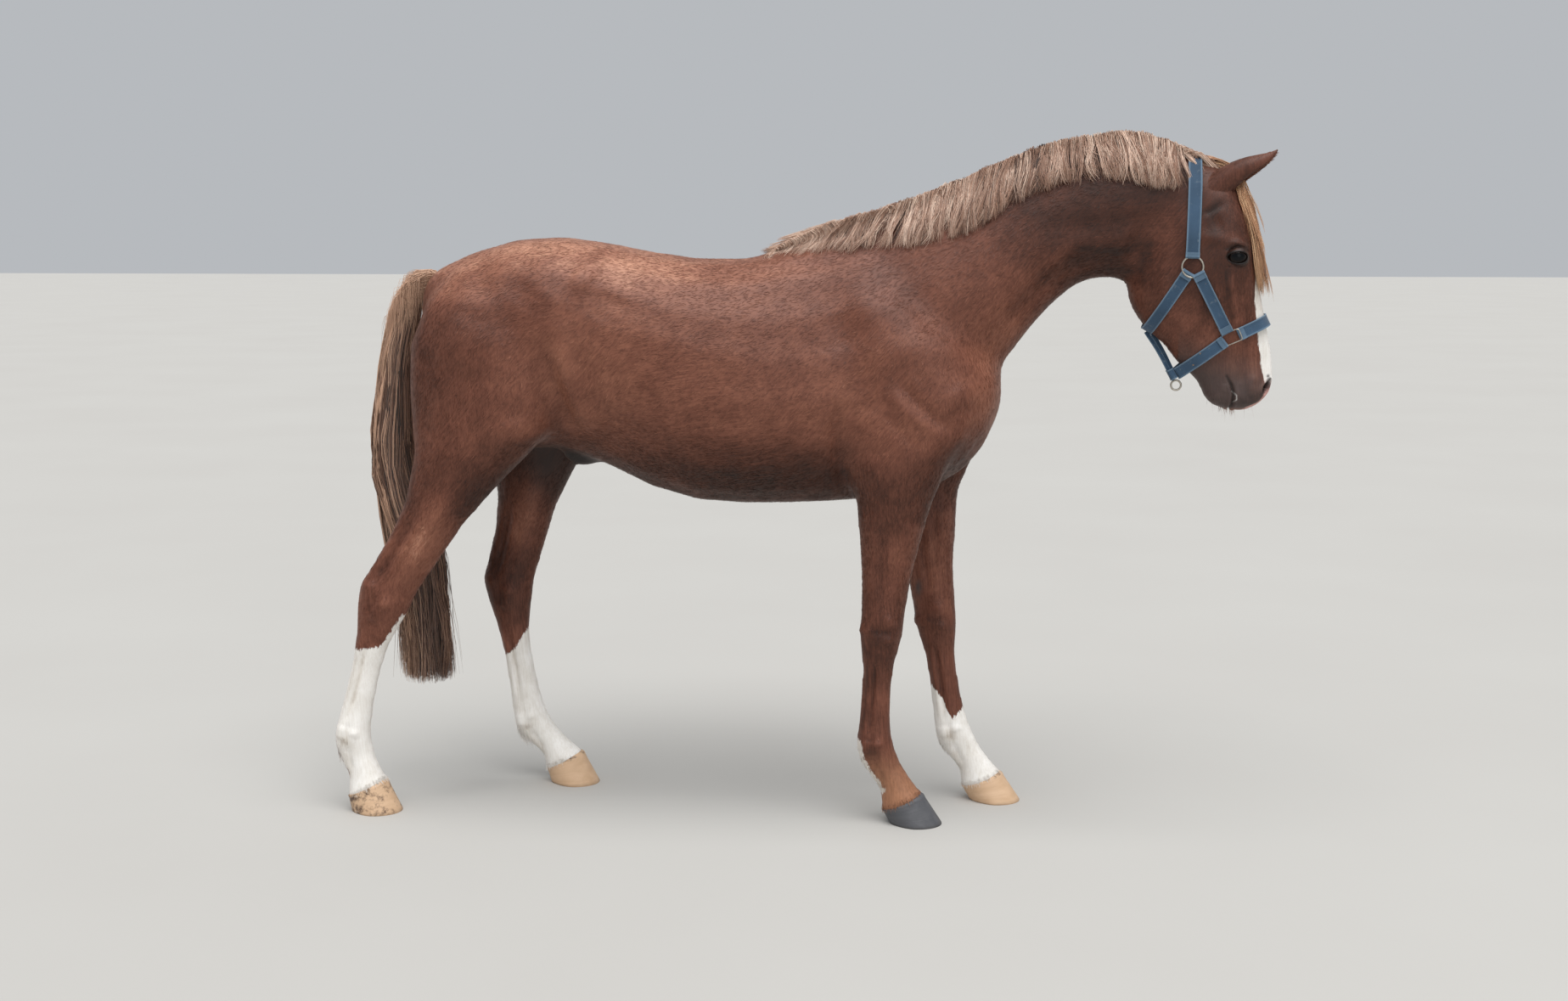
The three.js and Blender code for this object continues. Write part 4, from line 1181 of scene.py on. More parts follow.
# Long hair: each strand is a tapered, slightly flattened rod of three sides along its path.
def strandMesh(name, paths, width, outward, tone, taper=None, flat=0.6):
    count, rings = paths.shape[:2]
    if taper is None:
        taper = np.linspace(1, 0, rings) ** 0.6 * 0.85 + 0.15
    radius = width * (0.7 + 0.6 * chance(count))[:, None] * taper
    outward = np.broadcast_to(np.array(outward), paths.shape)
    along = unit(np.gradient(paths, axis=1))
    across = unit(np.cross(along, outward))
    up = np.cross(across, along)
    corners = []
    for angle in (90, 210, 330):
        a = math.radians(angle)
        corners.append(paths + radius[..., None] * (across * math.cos(a) + flat * up * math.sin(a)))
    points = np.stack(corners, axis=2).reshape(-1, 3)
    base = np.arange(count)[:, None, None] * rings * 3 + np.arange(rings - 1)[None, :, None] * 3
    i = np.arange(3)[None, None, :]
    j = (i + 1) % 3
    faces = np.stack([base + j, base + i, base + i + 3, base + j + 3], axis=-1).reshape(-1, 4)
    piece = meshFromArrays(name, points, faces)
    share = np.repeat(np.tile(np.linspace(0, 1, rings), count), 3)
    addAttribute(piece.data, "own", "FLOAT_VECTOR",
                 np.stack([np.repeat(tone, rings * 3), share, np.zeros(len(points))], axis=1))
    roots = np.repeat(chartAt(paths[:, 0]), rings * 3, axis=0)
    patch = np.stack([np.tile([0, 0.5, 1], count * rings), share], axis=1) * tuftPatch
    chartMesh(piece, faces, roots + patch)
    return piece


# Points along smooth curves that pass through each strand's own steering points.
def curvesThrough(steer, rings):
    last = steer.shape[1] - 1
    slopes = np.gradient(steer, axis=1)
    place = np.linspace(0, last, rings)
    i = np.minimum(place.astype(int), last - 1)
    t = (place - i)[None, :, None]
    start, end = steer[:, i], steer[:, i + 1]
    return (start * (1 + 2 * t) * (1 - t) ** 2 + slopes[:, i] * t * (1 - t) ** 2
            + end * t * t * (3 - 2 * t) + slopes[:, i + 1] * t * t * (t - 1))


# Long horsehair, flaxen in the mane and browner in the tail, a little glossy, each lock its own tone, and in
# the mane and tail some painted light and shade.
def longHairMaterial(name, shadow, middle, pale, tipPale):
    material, add = newMaterial(name)
    place = add("TexCoord").outputs["Object"]
    own = add("SeparateXYZ", {0: add("Attribute", attribute_name="own").outputs["Vector"]})
    noise = add("TexNoise", {"Vector": place, "Scale": 30, "Detail": 2})
    lift = add("Math", {0: own.outputs["Y"], 1: noise}, operation="MULTIPLY")
    tone = add("Math", {0: lift, 2: own.outputs["X"], 1: tipPale}, operation="MULTIPLY_ADD")
    ramped = add("ValToRGB", {"Fac": tone}, stops=[(0.05, shadow), (0.5, middle), (0.95, pale)])
    shader = add("BsdfPrincipled", {
        "Base Color": ramped, "Roughness": 0.45, "Specular IOR Level": 0.4, "Sheen Weight": 0.1,
        "Sheen Roughness": 0.4})
    add("OutputMaterial", {"Surface": shader})
    return material


# The mane. Locks rise from the crest, fold over to the right and hang down the neck.
mane = {
    "locks": 188, "strands": 18, "rings": 9, "parts": 2, "width": 0.00095,
    "top": [(-0.1, 1.482), (-0.067, 1.494), (-0.001, 1.524), (0.065, 1.55), (0.131, 1.572), (0.197, 1.592),
            (0.327, 1.637), (0.456, 1.695), (0.584, 1.745), (0.648, 1.766), (0.711, 1.775), (0.775, 1.786),
            (0.838, 1.784), (0.902, 1.768), (0.95, 1.742), (1.01, 1.722)],
    "hem": [(-0.11, 1.48), (-0.037, 1.478), (0.115, 1.484), (0.31, 1.5), (0.395, 1.52), (0.438, 1.54),
            (0.522, 1.6), (0.648, 1.651), (0.732, 1.662), (0.816, 1.658), (0.9, 1.636), (1.01, 1.65)],
    # place along the neck, and how far forward of its root a lock's end hangs
    "drift": [(-0.09, -0.05), (0.05, -0.08), (0.2, -0.055), (0.4, -0.04), (0.55, -0.022), (0.7, 0.022),
              (0.8, 0.04), (0.88, 0.03), (0.95, -0.004), (1.01, -0.01)],
    "loft": 0.017,  # how far the outer locks stand off the neck
    "ends": (-0.066, 0.985),  # where its first and last locks grow
    "shortShare": 0.3, "shorter": (0.02, 0.035),  # the share of shorter locks, and by how much
    "bend": (0.004, 0.018), "beat": (3.0, 7.0),  # how far a lock waves, and how often
    "tone": (0.4, 0.16),
    "poll": (0.928, 0.95),  # from here on the locks lie forward, over the crown strap
    "far": -0.108, "strap": 0.954,  # the rest end behind it, and ahead of the far end
}


# Where the skin is at the side of the neck, for a height and a place along it.
def sideTable(xs, zs, side):
    table = np.zeros((len(xs), len(zs)))
    for i, x in enumerate(xs):
        for j, z in enumerate(zs):
            hit = onSkin((x + carried, side, z), (0, -side, 0), 1.0)
            table[i, j] = abs(hit.y) if hit else 0.0
    return table


def lookUp(table, xs, zs, x, z):
    i = np.clip((x - xs[0]) / (xs[1] - xs[0]), 0, len(xs) - 1.001)
    j = np.clip((z - zs[0]) / (zs[1] - zs[0]), 0, len(zs) - 1.001)
    a, b = i.astype(int), j.astype(int)
    s, t = i - a, j - b
    return ((table[a, b] * (1 - s) + table[a + 1, b] * s) * (1 - t)
            + (table[a, b + 1] * (1 - s) + table[a + 1, b + 1] * s) * t)


def buildMane(part):
    xs, zs = np.linspace(-0.2, 1.12, 95), np.linspace(1.4, 1.8, 50)
    table = sideTable(xs, zs, -1)
    ridge = np.array([onSkin((x + carried, 0, 2.5), (0, 0, -1)).z for x in xs])
    locks, strands = mane["locks"], mane["strands"]
    count = locks * strands

    def shared(values):
        return np.repeat(values, strands)

    least, more = mane["shorter"]
    start = shared(rng.uniform(*mane["ends"], locks))
    layer = shared(chance(locks))
    short = shared((more * chance(locks) + least) * (chance(locks) < mane["shortShare"]))
    sweep = shared(rng.normal(0, 0.016, locks))
    phase = shared(rng.uniform(0, 2 * math.pi, locks))
    bend = shared(rng.uniform(*mane["bend"], locks))
    beat = shared(rng.uniform(*mane["beat"], locks))
    spread = rng.normal(0, 1, count)
    poll = ramp(start, *mane["poll"])
    x0 = start + (0.009 + 0.006 * poll) * spread
    skinTop = np.interp(x0, xs, ridge)
    topZ = readRows(mane["top"], x0)
    topZ = topZ - (0.001 + 0.009 * (1 - layer)) + 0.0014 * rng.normal(0, 1, count)
    topZ = np.maximum(topZ - 0.004 * poll, skinTop + 0.004 + 0.005 * poll)
    y0 = rng.uniform(-0.014, 0.012, count)
    tipX = start + readRows(mane["drift"], start) + sweep + 0.0055 * rng.normal(0, 1, count)
    tipX = np.clip(tipX, mane["far"] + 0.012 * chance(count), mane["strap"] - 0.012 * chance(count))
    tipX = tipX + (start + 0.115 + 0.5 * sweep + 0.014 * rng.normal(0, 1, count) - tipX) * poll
    hang = readRows(mane["hem"], tipX)
    tipZ = hang + short + 0.018 * (1 - layer) * chance(count) + 0.006 * rng.normal(0, 1, count)
    tipZ = np.minimum(tipZ, topZ - 0.025)
    overTop = np.interp(tipX, xs, ridge) + 0.003 - 0.008 * shared(chance(locks))
    tipZ = tipZ + (overTop - tipZ) * poll
    off = 0.003 + mane["loft"] * (0.25 + 0.75 * layer) + 0.0015 * np.abs(rng.normal(0, 1, count))
    off = off * (0.3 + 0.7 * ramp(start, -0.07, 0.1)) * (1 - 0.35 * poll)

    reach, fall = tipX - x0, topZ - tipZ
    root = np.stack([x0 + carried, y0, skinTop - 0.004], axis=1)
    crown = np.stack([x0 + 0.1 * reach + carried, -0.012 - 0.012 * layer + 0.5 * y0, topZ], axis=1)
    steer = [root, crown]
    for share, out in ((0.3, 1.15), (0.62, 1.1), (0.84, 0.9), (1.0, 0.6)):
        wave = bend * share * np.sin(phase + beat * share + 0.3 * spread) * (1 - 0.6 * poll)
        x = x0 + (0.1 + 0.9 * share ** 0.85) * reach + wave
        down = topZ - fall * share
        away = lookUp(table, xs, zs, x, down)
        away = away + (np.minimum(away, 0.012) - away) * poll + off * out
        steer.append(np.stack([x + carried, -away, down], axis=1))
    paths = curvesThrough(np.stack(steer, axis=1), mane["rings"])
    # Partly painted light and shade: outer locks lighter than those beneath, and strands at a lock's edges
    # darker, where the gaps between locks are in shade.
    tone = (shared(rng.normal(*mane["tone"], locks)) + 0.36 * layer - 0.17
            + rng.normal(0, 0.13, count) - 0.14 * ramp(np.abs(spread), 0.8, 2) + 0.2 * ramp(start, 0.25, 0.0)
            + 0.09 * ramp(start, 0.6, 0.8) + 0.12 + 0.06 * poll)
    return strandMesh(f"mane_{part}", paths, mane["width"], [0, -1, 0.35], tone)


# The mane's ends are darker: painted shade along its hem.
flaxen = longHairMaterial("flaxen mane hair", "452f25", "ab826b", "efd3be", -0.12)
maneHair = [buildMane(part) for part in range(1, mane["parts"] + 1)]
dressAll(maneHair, flaxen, "mane_hair", "mane")
stage("mane", maneHair)


# The forelock. It comes forward between the ears and hangs down the face, mostly to the right.
forelock = {
    "locks": 110, "strands": 19, "rings": 13, "width": 0.0009,
    "hub": (0.985, 1.56),   # the face is measured round this place, and level below it
    "ends": (1.375, 1.53),  # heights of the longest and shortest locks' ends
    "aside": (-0.031, 0.029, -0.063, 0.045),  # across the face: the middle, how spread out, and the limits
    "wispShare": 0.22, "fall": 0.44, "turn": 100,  # below the hub, and degrees up and over it
    "tone": (0.44, 0.13),
}


def buildForelock():
    ys, places = np.linspace(-0.09, 0.09, 37), np.linspace(0, 1, 60)
    hubX, hubZ = forelock["hub"]
    fall, over = forelock["fall"], forelock["turn"]
    table = np.zeros((3, len(ys), len(places)))
    # From over the poll (0) round to the level of the hub (0.5), and on down the face (1).
    for i, y in enumerate(ys):
        for j, place in enumerate(places):
            angle = math.radians(max(over * (1 - 2 * place), 0))
            way = Vector((math.cos(angle), 0, math.sin(angle)))
            hub = Vector((hubX + carried, y, hubZ - fall * max(place - 0.5, 0)))
            hit = onSkin(hub + way * 0.4, -way, 0.4) or hub + way * 0.1
            table[:, i, j] = hit
    # The ears are left out of the face it lies on.
    inner = table[:, 12:25, :]
    reach = np.hypot(inner[0] - hubX - carried, inner[2] - hubZ).min(axis=0)
    for i in range(len(ys)):
        off = np.hypot(table[0, i] - hubX - carried, table[2, i] - hubZ)
        tall = (off > reach + 0.012) & (places < 0.5)
        table[:, i, tall] = table[:, 18, tall]
        table[1, i, tall] = ys[i]
    locks, strands = forelock["locks"], forelock["strands"]
    count = locks * strands

    def shared(values):
        return np.repeat(values, strands)

    middle, spread, *limits = forelock["aside"]
    aside = shared(np.clip(rng.normal(middle, spread, locks), *limits))
    wisp = shared(chance(locks) < forelock["wispShare"])
    layer = shared(chance(locks))
    phase = shared(rng.uniform(0, 2 * math.pi, locks))
    begin = shared(rng.uniform(0.02, 0.22, locks)) + 0.01 * rng.normal(0, 1, count)
    low, high = forelock["ends"]
    tipZ = low + (high - low) * shared(chance(locks) ** 1.8)
    tipZ = tipZ + 0.45 * np.abs(aside + 0.025) + 0.009 * rng.normal(0, 1, count)
    finish = np.clip(0.5 + (hubZ - tipZ) / fall, 0.5, 1)
    rootY = np.clip(0.35 * aside, -0.013, 0.013) + 0.003 * rng.normal(0, 1, count)
    tipY = aside + 0.004 * rng.normal(0, 1, count)
    steer = []
    for share in (0.0, 0.06, 0.2, 0.4, 0.6, 0.8, 1.0):
        place = begin + (finish - begin) * share
        y = rootY + (np.clip(tipY * (1.5 - 0.6 * share), -0.07, 0.055) - rootY) * ramp(place, 0.1, 0.42)
        y = y + 0.004 * share * np.sin(phase + 5 * share)
        spot = np.stack([lookUp(table[k], ys, places, y, place) for k in range(3)], axis=1)
        angle = np.radians(np.maximum(over * (1 - 2 * place), 0))
        way = np.stack([np.cos(angle), np.zeros(count), np.sin(angle)], axis=1)
        away = (0.002 + 0.018 * layer ** 1.6) * min(share / 0.06, 1) * (1 - 0.2 * share)
        away = away + 0.003 * math.sin(math.pi * share)
        away = away + 0.018 * wisp * share ** 2 + 0.003 * share * np.sin(2 * phase + 6 * share)
        steer.append(spot + way * (away - 0.002 * (share == 0))[:, None])
    paths = curvesThrough(np.stack(steer, axis=1), forelock["rings"])
    tone = shared(rng.normal(*forelock["tone"], locks)) + 0.2 * layer + rng.normal(0, 0.12, count)
    return strandMesh("forelock", paths, forelock["width"], [1, -0.3, 0.2], tone)


gingerFlax = longHairMaterial("ginger forelock hair", "48301f", "b07e5c", "e4bc94", 0.28)
forelockHair = buildForelock()
dress(forelockHair, gingerFlax, "mane_hair", "forelock")
stage("forelock", [forelockHair])


# The tail. Hair leaves the dock all round its length and falls to a blunt cut end.
tail = {
    "strands": 1900, "perLock": 22, "parts": 2, "rings": 15, "width": 0.0016,
    "roots": (1.426, 1.186),  # the dock's root, and the lowest place that hair grows from
    "cut": 0.317,
    "shortShare": 0.3, "strayShare": 0.1, "wave": 0.0065,
    # height, front, back and half width of the hanging tail
    "rows": [(1.428, -0.984, -1.04, 0.018), (1.416, -0.992, -1.088, 0.027), (1.398, -0.996, -1.104, 0.032),
             (1.357, -1.016, -1.112, 0.036), (1.29, -1.035, -1.122, 0.041), (1.2, -1.05, -1.142, 0.047),
             (1.1, -1.057, -1.161, 0.053), (0.98, -1.056, -1.174, 0.058), (0.88, -1.046, -1.172, 0.061),
             (0.78, -1.012, -1.157, 0.062), (0.66, -0.984, -1.134, 0.061), (0.54, -0.966, -1.117, 0.06),
             (0.43, -0.96, -1.111, 0.058), (0.318, -0.958, -1.108, 0.054)],
}


def buildTail(part):
    count, rings = tail["strands"], tail["rings"]
    locks = count // tail["perLock"]
    lock = rng.integers(0, locks, count)
    lockAngle = rng.uniform(-math.pi, math.pi, locks)
    angle = lockAngle[lock] + 0.11 * rng.normal(0, 1, count)
    deep = (rng.uniform(0.25, 1, locks) ** 0.5)[lock] * rng.uniform(0.92, 1.0, count)
    high, low = tail["roots"]
    top = high - (high - low) * chance(count) ** 1.4
    short = (chance(locks) < tail["shortShare"])[lock] * rng.uniform(0.03, 0.42, locks)[lock]
    end = tail["cut"] + short + 0.06 * chance(count) ** 2.4 + 0.02 * chance(locks)[lock]
    # More rings near the top, where a strand comes out of the dock.
    share = np.linspace(0, 1, rings)[None, :] ** 1.35
    z = top[:, None] + (end - top)[:, None] * share
    front, back, half = readRows(tail["rows"][::-1], z)
    out = deep[:, None] * (0.35 + 0.65 * ramp(share, 0.0, 0.1))
    beat = rng.uniform(9, 24, locks)[lock][:, None]
    wave = tail["wave"] * np.sin(beat * z + lockAngle[lock][:, None] * 3) * ramp(share, 0, 0.4)
    drawn = 1 - 0.1 * ramp(share, 0.5, 1.0) * chance(locks)[lock][:, None]
    x = (front + back) / 2 + (front - back) / 2 * out * drawn * np.cos(angle)[:, None] + carried + wave
    y = half * out * drawn * np.sin(angle)[:, None] + 0.7 * wave
    paths = np.stack([x, y, z], axis=2)
    # Flyaway ends.
    stray = (chance(count) < tail["strayShare"])[:, None] * ramp(share, 0.25, 1.0)
    paths[:, :, 0] += stray * 0.012 * rng.normal(0, 1, count)[:, None]
    paths[:, :, 1] += stray * 0.01 * rng.normal(0, 1, count)[:, None]
    taper = (1 - share ** 4 * 0.85) * (0.45 + 0.55 * ramp(share, 0, 0.05))
    outward = np.stack([np.cos(angle), np.sin(angle), 0 * angle], axis=1)[:, None]
    inner = ramp(np.cos(angle), -0.7, 0.3)
    # Painted light and shade: lighter on strands from the top of the dock and on the outer ones, darker
    # towards the buttocks.
    tone = (rng.normal(0.375, 0.13, locks)[lock] - 0.18 * inner + 0.16 * (deep - 0.8)
            + rng.normal(0, 0.12, count) + 0.85 * ramp(top, 1.31, 1.42) * (1 - 0.7 * inner))
    return strandMesh(f"tail_{part}", paths, tail["width"], outward, tone, taper)


# The dock brush: short hair that stands off the root of the tail and hides the joint.
dock = {"count": 1500, "width": 0.0011, "length": (0.066, 0.12), "droop": 0.05, "top": 1.431}


def buildDock():
    count = dock["count"]
    along = chance(count) ** 1.2
    angle = rng.uniform(-math.pi, math.pi, count)
    rootX, rootZ = -0.98 - 0.05 * along, 1.415 - 0.07 * along
    spoke = np.stack([0.25 * np.cos(angle) - 0.75, np.sin(angle) * 0.36, 0.55 * np.cos(angle)], axis=1)
    root = np.stack([rootX + carried, 0.01 * np.sin(angle), rootZ + 0.006 * np.cos(angle)], axis=1)
    short, long = dock["length"]
    length = (short + (long - short) * chance(count))[:, None]
    spread = rng.normal(0, 0.004, (count, 3))
    middle = root + spoke * length * 0.5 + spread * 0.4
    far = root + spoke * length * 0.85 + [0, 0, -0.01] + spread
    end = far + [-0.004, 0, -dock["droop"]] + spread
    end[:, 2] -= 0.06 * chance(count)
    paths = curvesThrough(np.stack([root, middle, far, end], axis=1), 7)
    # Its top is trimmed round, and falls away behind.
    roof = dock["top"] - 0.012 * chance(count)[:, None] - 14 * paths[:, :, 1] ** 2
    roof -= 0.22 * np.maximum(-1.06 - (paths[:, :, 0] - carried), 0)
    paths[:, :, 2] = np.minimum(paths[:, :, 2], roof)
    # A high tone: painted light on the top of the tail.
    tone = rng.normal(1.1, 0.16, count)
    return strandMesh("dock_brush", paths, dock["width"], [-0.5, -0.4, 0.7], tone)


brownHair = longHairMaterial("brown tail hair", "2d2019", "785949", "cda68b", 0.2)
tailHair = [buildTail(part) for part in range(1, tail["parts"] + 1)] + [buildDock()]
dressAll(tailHair, brownHair, "mane_hair", "tail")
stage("tail", tailHair)


# The eyes. Dark wet balls, with a level pupil in a dark brown iris.
eye = {"size": 0.0262, "pupil": "030508", "iris": "100a09", "streak": "1a100c", "white": "14110f"}


def eyeMaterial():
    # A wet cornea over a dark iris: a clear coat gives the sharp light on it.
    material, add = newMaterial("wet cornea and iris")
    gaze = add("Attribute", attribute_name="gaze").outputs["Vector"]
    streaks = add("TexNoise", {"Vector": gaze, "Scale": 9, "Detail": 4})
    whole = add("MixRGB", {"Fac": streaks, "Color1": eye["iris"], "Color2": eye["streak"]})
    # The level pupil, then the rim of the iris: each is an oval on the ball.
    for wide, high, soft, within, around in ((0.62, 0.36, 0.15, eye["pupil"], None),
                                             (0.86, 0.8, 0.07, None, eye["white"])):
        level = add("VectorMath", {0: gaze, 1: (1 / wide, 0, 1 / high)}, operation="MULTIPLY")
        away = add("VectorMath", {0: level}, operation="LENGTH").outputs["Value"]
        share = add("MapRange", {"Value": away, "From Min": 1 - soft, "From Max": 1 + soft})
        whole = add("MixRGB", {"Fac": share, "Color1": within or whole, "Color2": around or whole})
    shader = add("BsdfPrincipled", {
        "Base Color": whole, "Roughness": 0.35, "Specular IOR Level": 0.05, "Coat Weight": 0.45,
        "Coat Roughness": 0.04, "Coat IOR": 1.36})
    add("OutputMaterial", {"Surface": shader})
    return material


wetEye = eyeMaterial()
for side, word in sides:
    ball = addShape("uv_sphere", word + "_eye_ball", segments=48, ring_count=32, radius=eye["size"],
                    location=eyeCentre(side))
    gaze = (pointsOf(ball) - np.array(eyeCentre(side))) / eye["size"]
    addAttribute(ball.data, "gaze", "FLOAT_VECTOR", gaze)
    dress(ball, wetEye, "eye", word + "_eye")
stage("eyes")


# The hooves. A sloping wall of horn from the coronet to a flat bearing edge.
hoof = {
    "right_fore": {"toe": 0.37, "heel": 0.233, "side": -0.122, "dark": True},
    "left_fore": {"toe": 0.572, "heel": 0.436, "side": 0.122, "dark": False},
    "right_hind": {"toe": -1.064, "heel": -1.2, "side": -0.167, "dark": False},
    "left_hind": {"toe": -0.598, "heel": -0.734, "side": 0.167, "dark": False},
}
hoofShape = {
    "coronet": (0.0565, 0.0455), "ground": 0.0635, "rings": 9, "sides": 56, "smooth": 50,
    "ends": [0.03, 0.95],  # the lowest and highest cuts across the wall, as shares of its height
    "wall": 0.16, "step": 0.04, "sole": 0.07,  # shares too: its thickness, and the step up to the sole
    "swell": 0.03, "turnIn": 0.07,  # under the coronet, and at it
}


def buildHoof(name):
    leg, foot = legs[name], hoof[name]
    piece = addShape("cylinder", name + "_horn", vertices=hoofShape["sides"], radius=1, depth=1,
                     location=(0, 0, 0.5), end_fill_type="NGON")
    bpy.ops.object.mode_set(mode="EDIT")
    for height in hoofShape["ends"] + list(np.linspace(0.1, 0.9, hoofShape["rings"])):
        bpy.ops.mesh.select_all(action="SELECT")
        bpy.ops.mesh.bisect(plane_co=(0, 0, height), plane_no=(0, 0, 1))
    # The sole is set up inside the bearing edge of the wall.
    bpy.ops.object.mode_set(mode="OBJECT")
    selectWhere(piece, "polygons", [face.center.z < 0.001 for face in piece.data.polygons])
    bpy.ops.mesh.inset(thickness=hoofShape["wall"])
    bpy.ops.mesh.inset(thickness=hoofShape["step"])
    bpy.ops.transform.translate(value=(0, 0, hoofShape["sole"]))
    bpy.ops.object.mode_set(mode="OBJECT")
    points = pointsOf(piece)
    c, s, down = points[:, 0], points[:, 1], 1 - points[:, 2]
    jx, jz = leg["joints"][3]
    tip = math.radians(leg["tip"])
    longHalf, wideHalf = hoofShape["coronet"]
    swell = 1 + hoofShape["swell"] * fade((down - 0.08) / 0.06) - hoofShape["turnIn"] * ramp(down, 0.05, 0)
    topX = jx + longHalf * c * math.cos(tip) * swell
    topZ = jz + longHalf * c * math.sin(tip) + 0.003
    topY = wideHalf * s * swell * (1 - 0.06 * (1 - c) / 2)
    middle, half = (foot["toe"] + foot["heel"]) / 2, (foot["toe"] - foot["heel"]) / 2
    edge = 1 - 0.02 * ramp(down, 0.97, 1.0)
    groundX = middle + half * c * edge
    groundY = hoofShape["ground"] * s * edge * (1 - 0.2 * ramp(-c, -0.1, 1.0))
    points[:, 0] = topX + (groundX - topX) * down + carried
    points[:, 1] = foot["side"] + topY + (groundY - topY) * down
    points[:, 2] = topZ * (1 - down)
    placePoints(piece, points)
    wall = np.stack([down, np.arctan2(s, c) / math.pi, c], axis=1)
    addAttribute(piece.data, "wall", "FLOAT_VECTOR", wall)
    selectOnly(piece)
    bpy.ops.object.shade_smooth_by_angle(angle=math.radians(hoofShape["smooth"]))
    return piece


def hornMaterial(name, base, streak, smudge, rim):
    # Hoof horn, rasped and muddied: dull, with fine tubules down the wall and rings of growth across it.
    material, add = newMaterial(name)
    wall = add("Attribute", attribute_name="wall").outputs["Vector"]
    place = add("TexCoord").outputs["Object"]
    parts = add("SeparateXYZ", {0: wall})
    around = add("Mapping", {"Vector": wall, "Scale": (1.5, 26, 0)})
    tubules = add("TexNoise", {"Vector": around, "Scale": 3, "Detail": 4})
    mud = add("TexNoise", {"Vector": place, "Scale": 46, "Detail": 5, "Roughness": 0.68})
    growth = add("Mapping", {"Vector": wall, "Scale": (1, 0.03, 0)})
    rings = add("TexNoise", {"Vector": growth, "Scale": 16, "Detail": 3})
    # Darker under the coronet and at the heels.
    high = add("MapRange", {"Value": parts.outputs["X"], "From Min": 0.42, "From Max": 0.0, "To Max": 0.6})
    heel = add("MapRange", {"Value": parts.outputs["Z"], "From Min": -0.5, "From Max": -1.2, "To Max": 0.7})
    most = add("Math", {0: high, 1: heel}, operation="MAXIMUM")
    soiled = add("Math", {0: mud, 1: 1.3, 2: most}, operation="MULTIPLY_ADD")
    soiled = add("MapRange", {"Value": soiled, "From Min": 1.22, "From Max": 1.45})
    low = add("MapRange", {"Value": parts.outputs["X"], "From Min": 0.86, "From Max": 1.0})
    low = add("Math", {0: low, 1: mud}, operation="MULTIPLY")
    colour = base
    for share, over in ((tubules, streak), (soiled, smudge), (low, rim)):
        colour = add("MixRGB", {"Fac": share, "Color1": colour, "Color2": over})
    height = add("Math", {0: rings, 1: tubules}, operation="ADD")
    bump = add("Bump", {"Height": height, "Strength": 0.5, "Distance": 0.0012})
    shader = add("BsdfPrincipled", {
        "Base Color": colour, "Normal": bump, "Roughness": 0.55, "Specular IOR Level": 0.4, "IOR": 1.54})
    add("OutputMaterial", {"Surface": shader})
    return material


paleHorn = hornMaterial("pale hoof horn", "e0bf9e", "bb9774", "5c4637", "8a7058")
slateHorn = hornMaterial("slate hoof horn", "45464a", "5d5d60", "2c2827", "39342f")
for name in hoof:
    horn = buildHoof(name)
    look = (slateHorn, "dark_hoof") if hoof[name]["dark"] else (paleHorn, "pale_hoof")
    dress(horn, *look, name + "_hoof")
stage("hooves")


# The halter. Each strap lies taut round the head in its own plane, square to the side view.
halter = {
    "thick": 0.0026, "lift": 0.0035,
    # start, and where it crosses the middle of the head, in the side view, and its width
    "loops": {
        "halter_crown_strap": ((0.9745, 1.466), (0.984, 1.8), 0.034),
        "halter_throat_strap": ((0.964, 1.427), (0.858, 1.258), 0.03),
        "halter_front_noseband": ((1.0975, 1.2745), (1.24, 1.341), 0.031),
        "halter_rear_noseband": ((1.06, 1.2555), (0.95, 1.17), 0.031),
    },
    "cheek": ((0.9915, 1.423), (1.0665, 1.2815), 0.031),
    # half the gap between the sides of the rear noseband, where the chin draws it out
    "pull": 0.012,
    "foldLength": 0.016,
    "ring": (0.9755, 0.101, 1.443), "ringSize": 0.0262, "ringBar": 0.0026,
    "square": (1.0797, 1.2675), "squareSize": (0.0225, 0.015), "squareBar": 0.0017,
    "squareDip": -24, "squareTurn": 0.24,  # degrees in the side view, and radians round the muzzle
    "chinRing": (0.95, 1.1405), "chinRingSize": 0.0125, "chinBar": 0.0026,
    "jaw": ((0.886, 1.264), (0.932, 1.184)),
    "jawHalves": ((-0.0058, -0.004), (0.0052, 0.004)),  # how far each is off the line, aside and across
    "jawWidth": 0.011, "jawTwist": 0.49,
    "keeper": ((0.927, 1.163), (0.951, 1.176)),
    "keeperSize": (0.0085, 0.0165), "keeperWidth": 0.028,
    "keeperCorner": 0.6,  # 1 is an oval, and less is squarer
}


# The taut line round a set of places in a plane.
def tautLine(places):
    return places[convex_hull_2d(places.tolist())]


def resampled(path, count):
    away = np.concatenate([[0], np.cumsum(np.linalg.norm(np.diff(path, axis=0), axis=1))])
    places = np.linspace(0, away[-1], count)
    return np.stack([np.interp(places, away, path[:, i]) for i in range(path.shape[1])], axis=1)


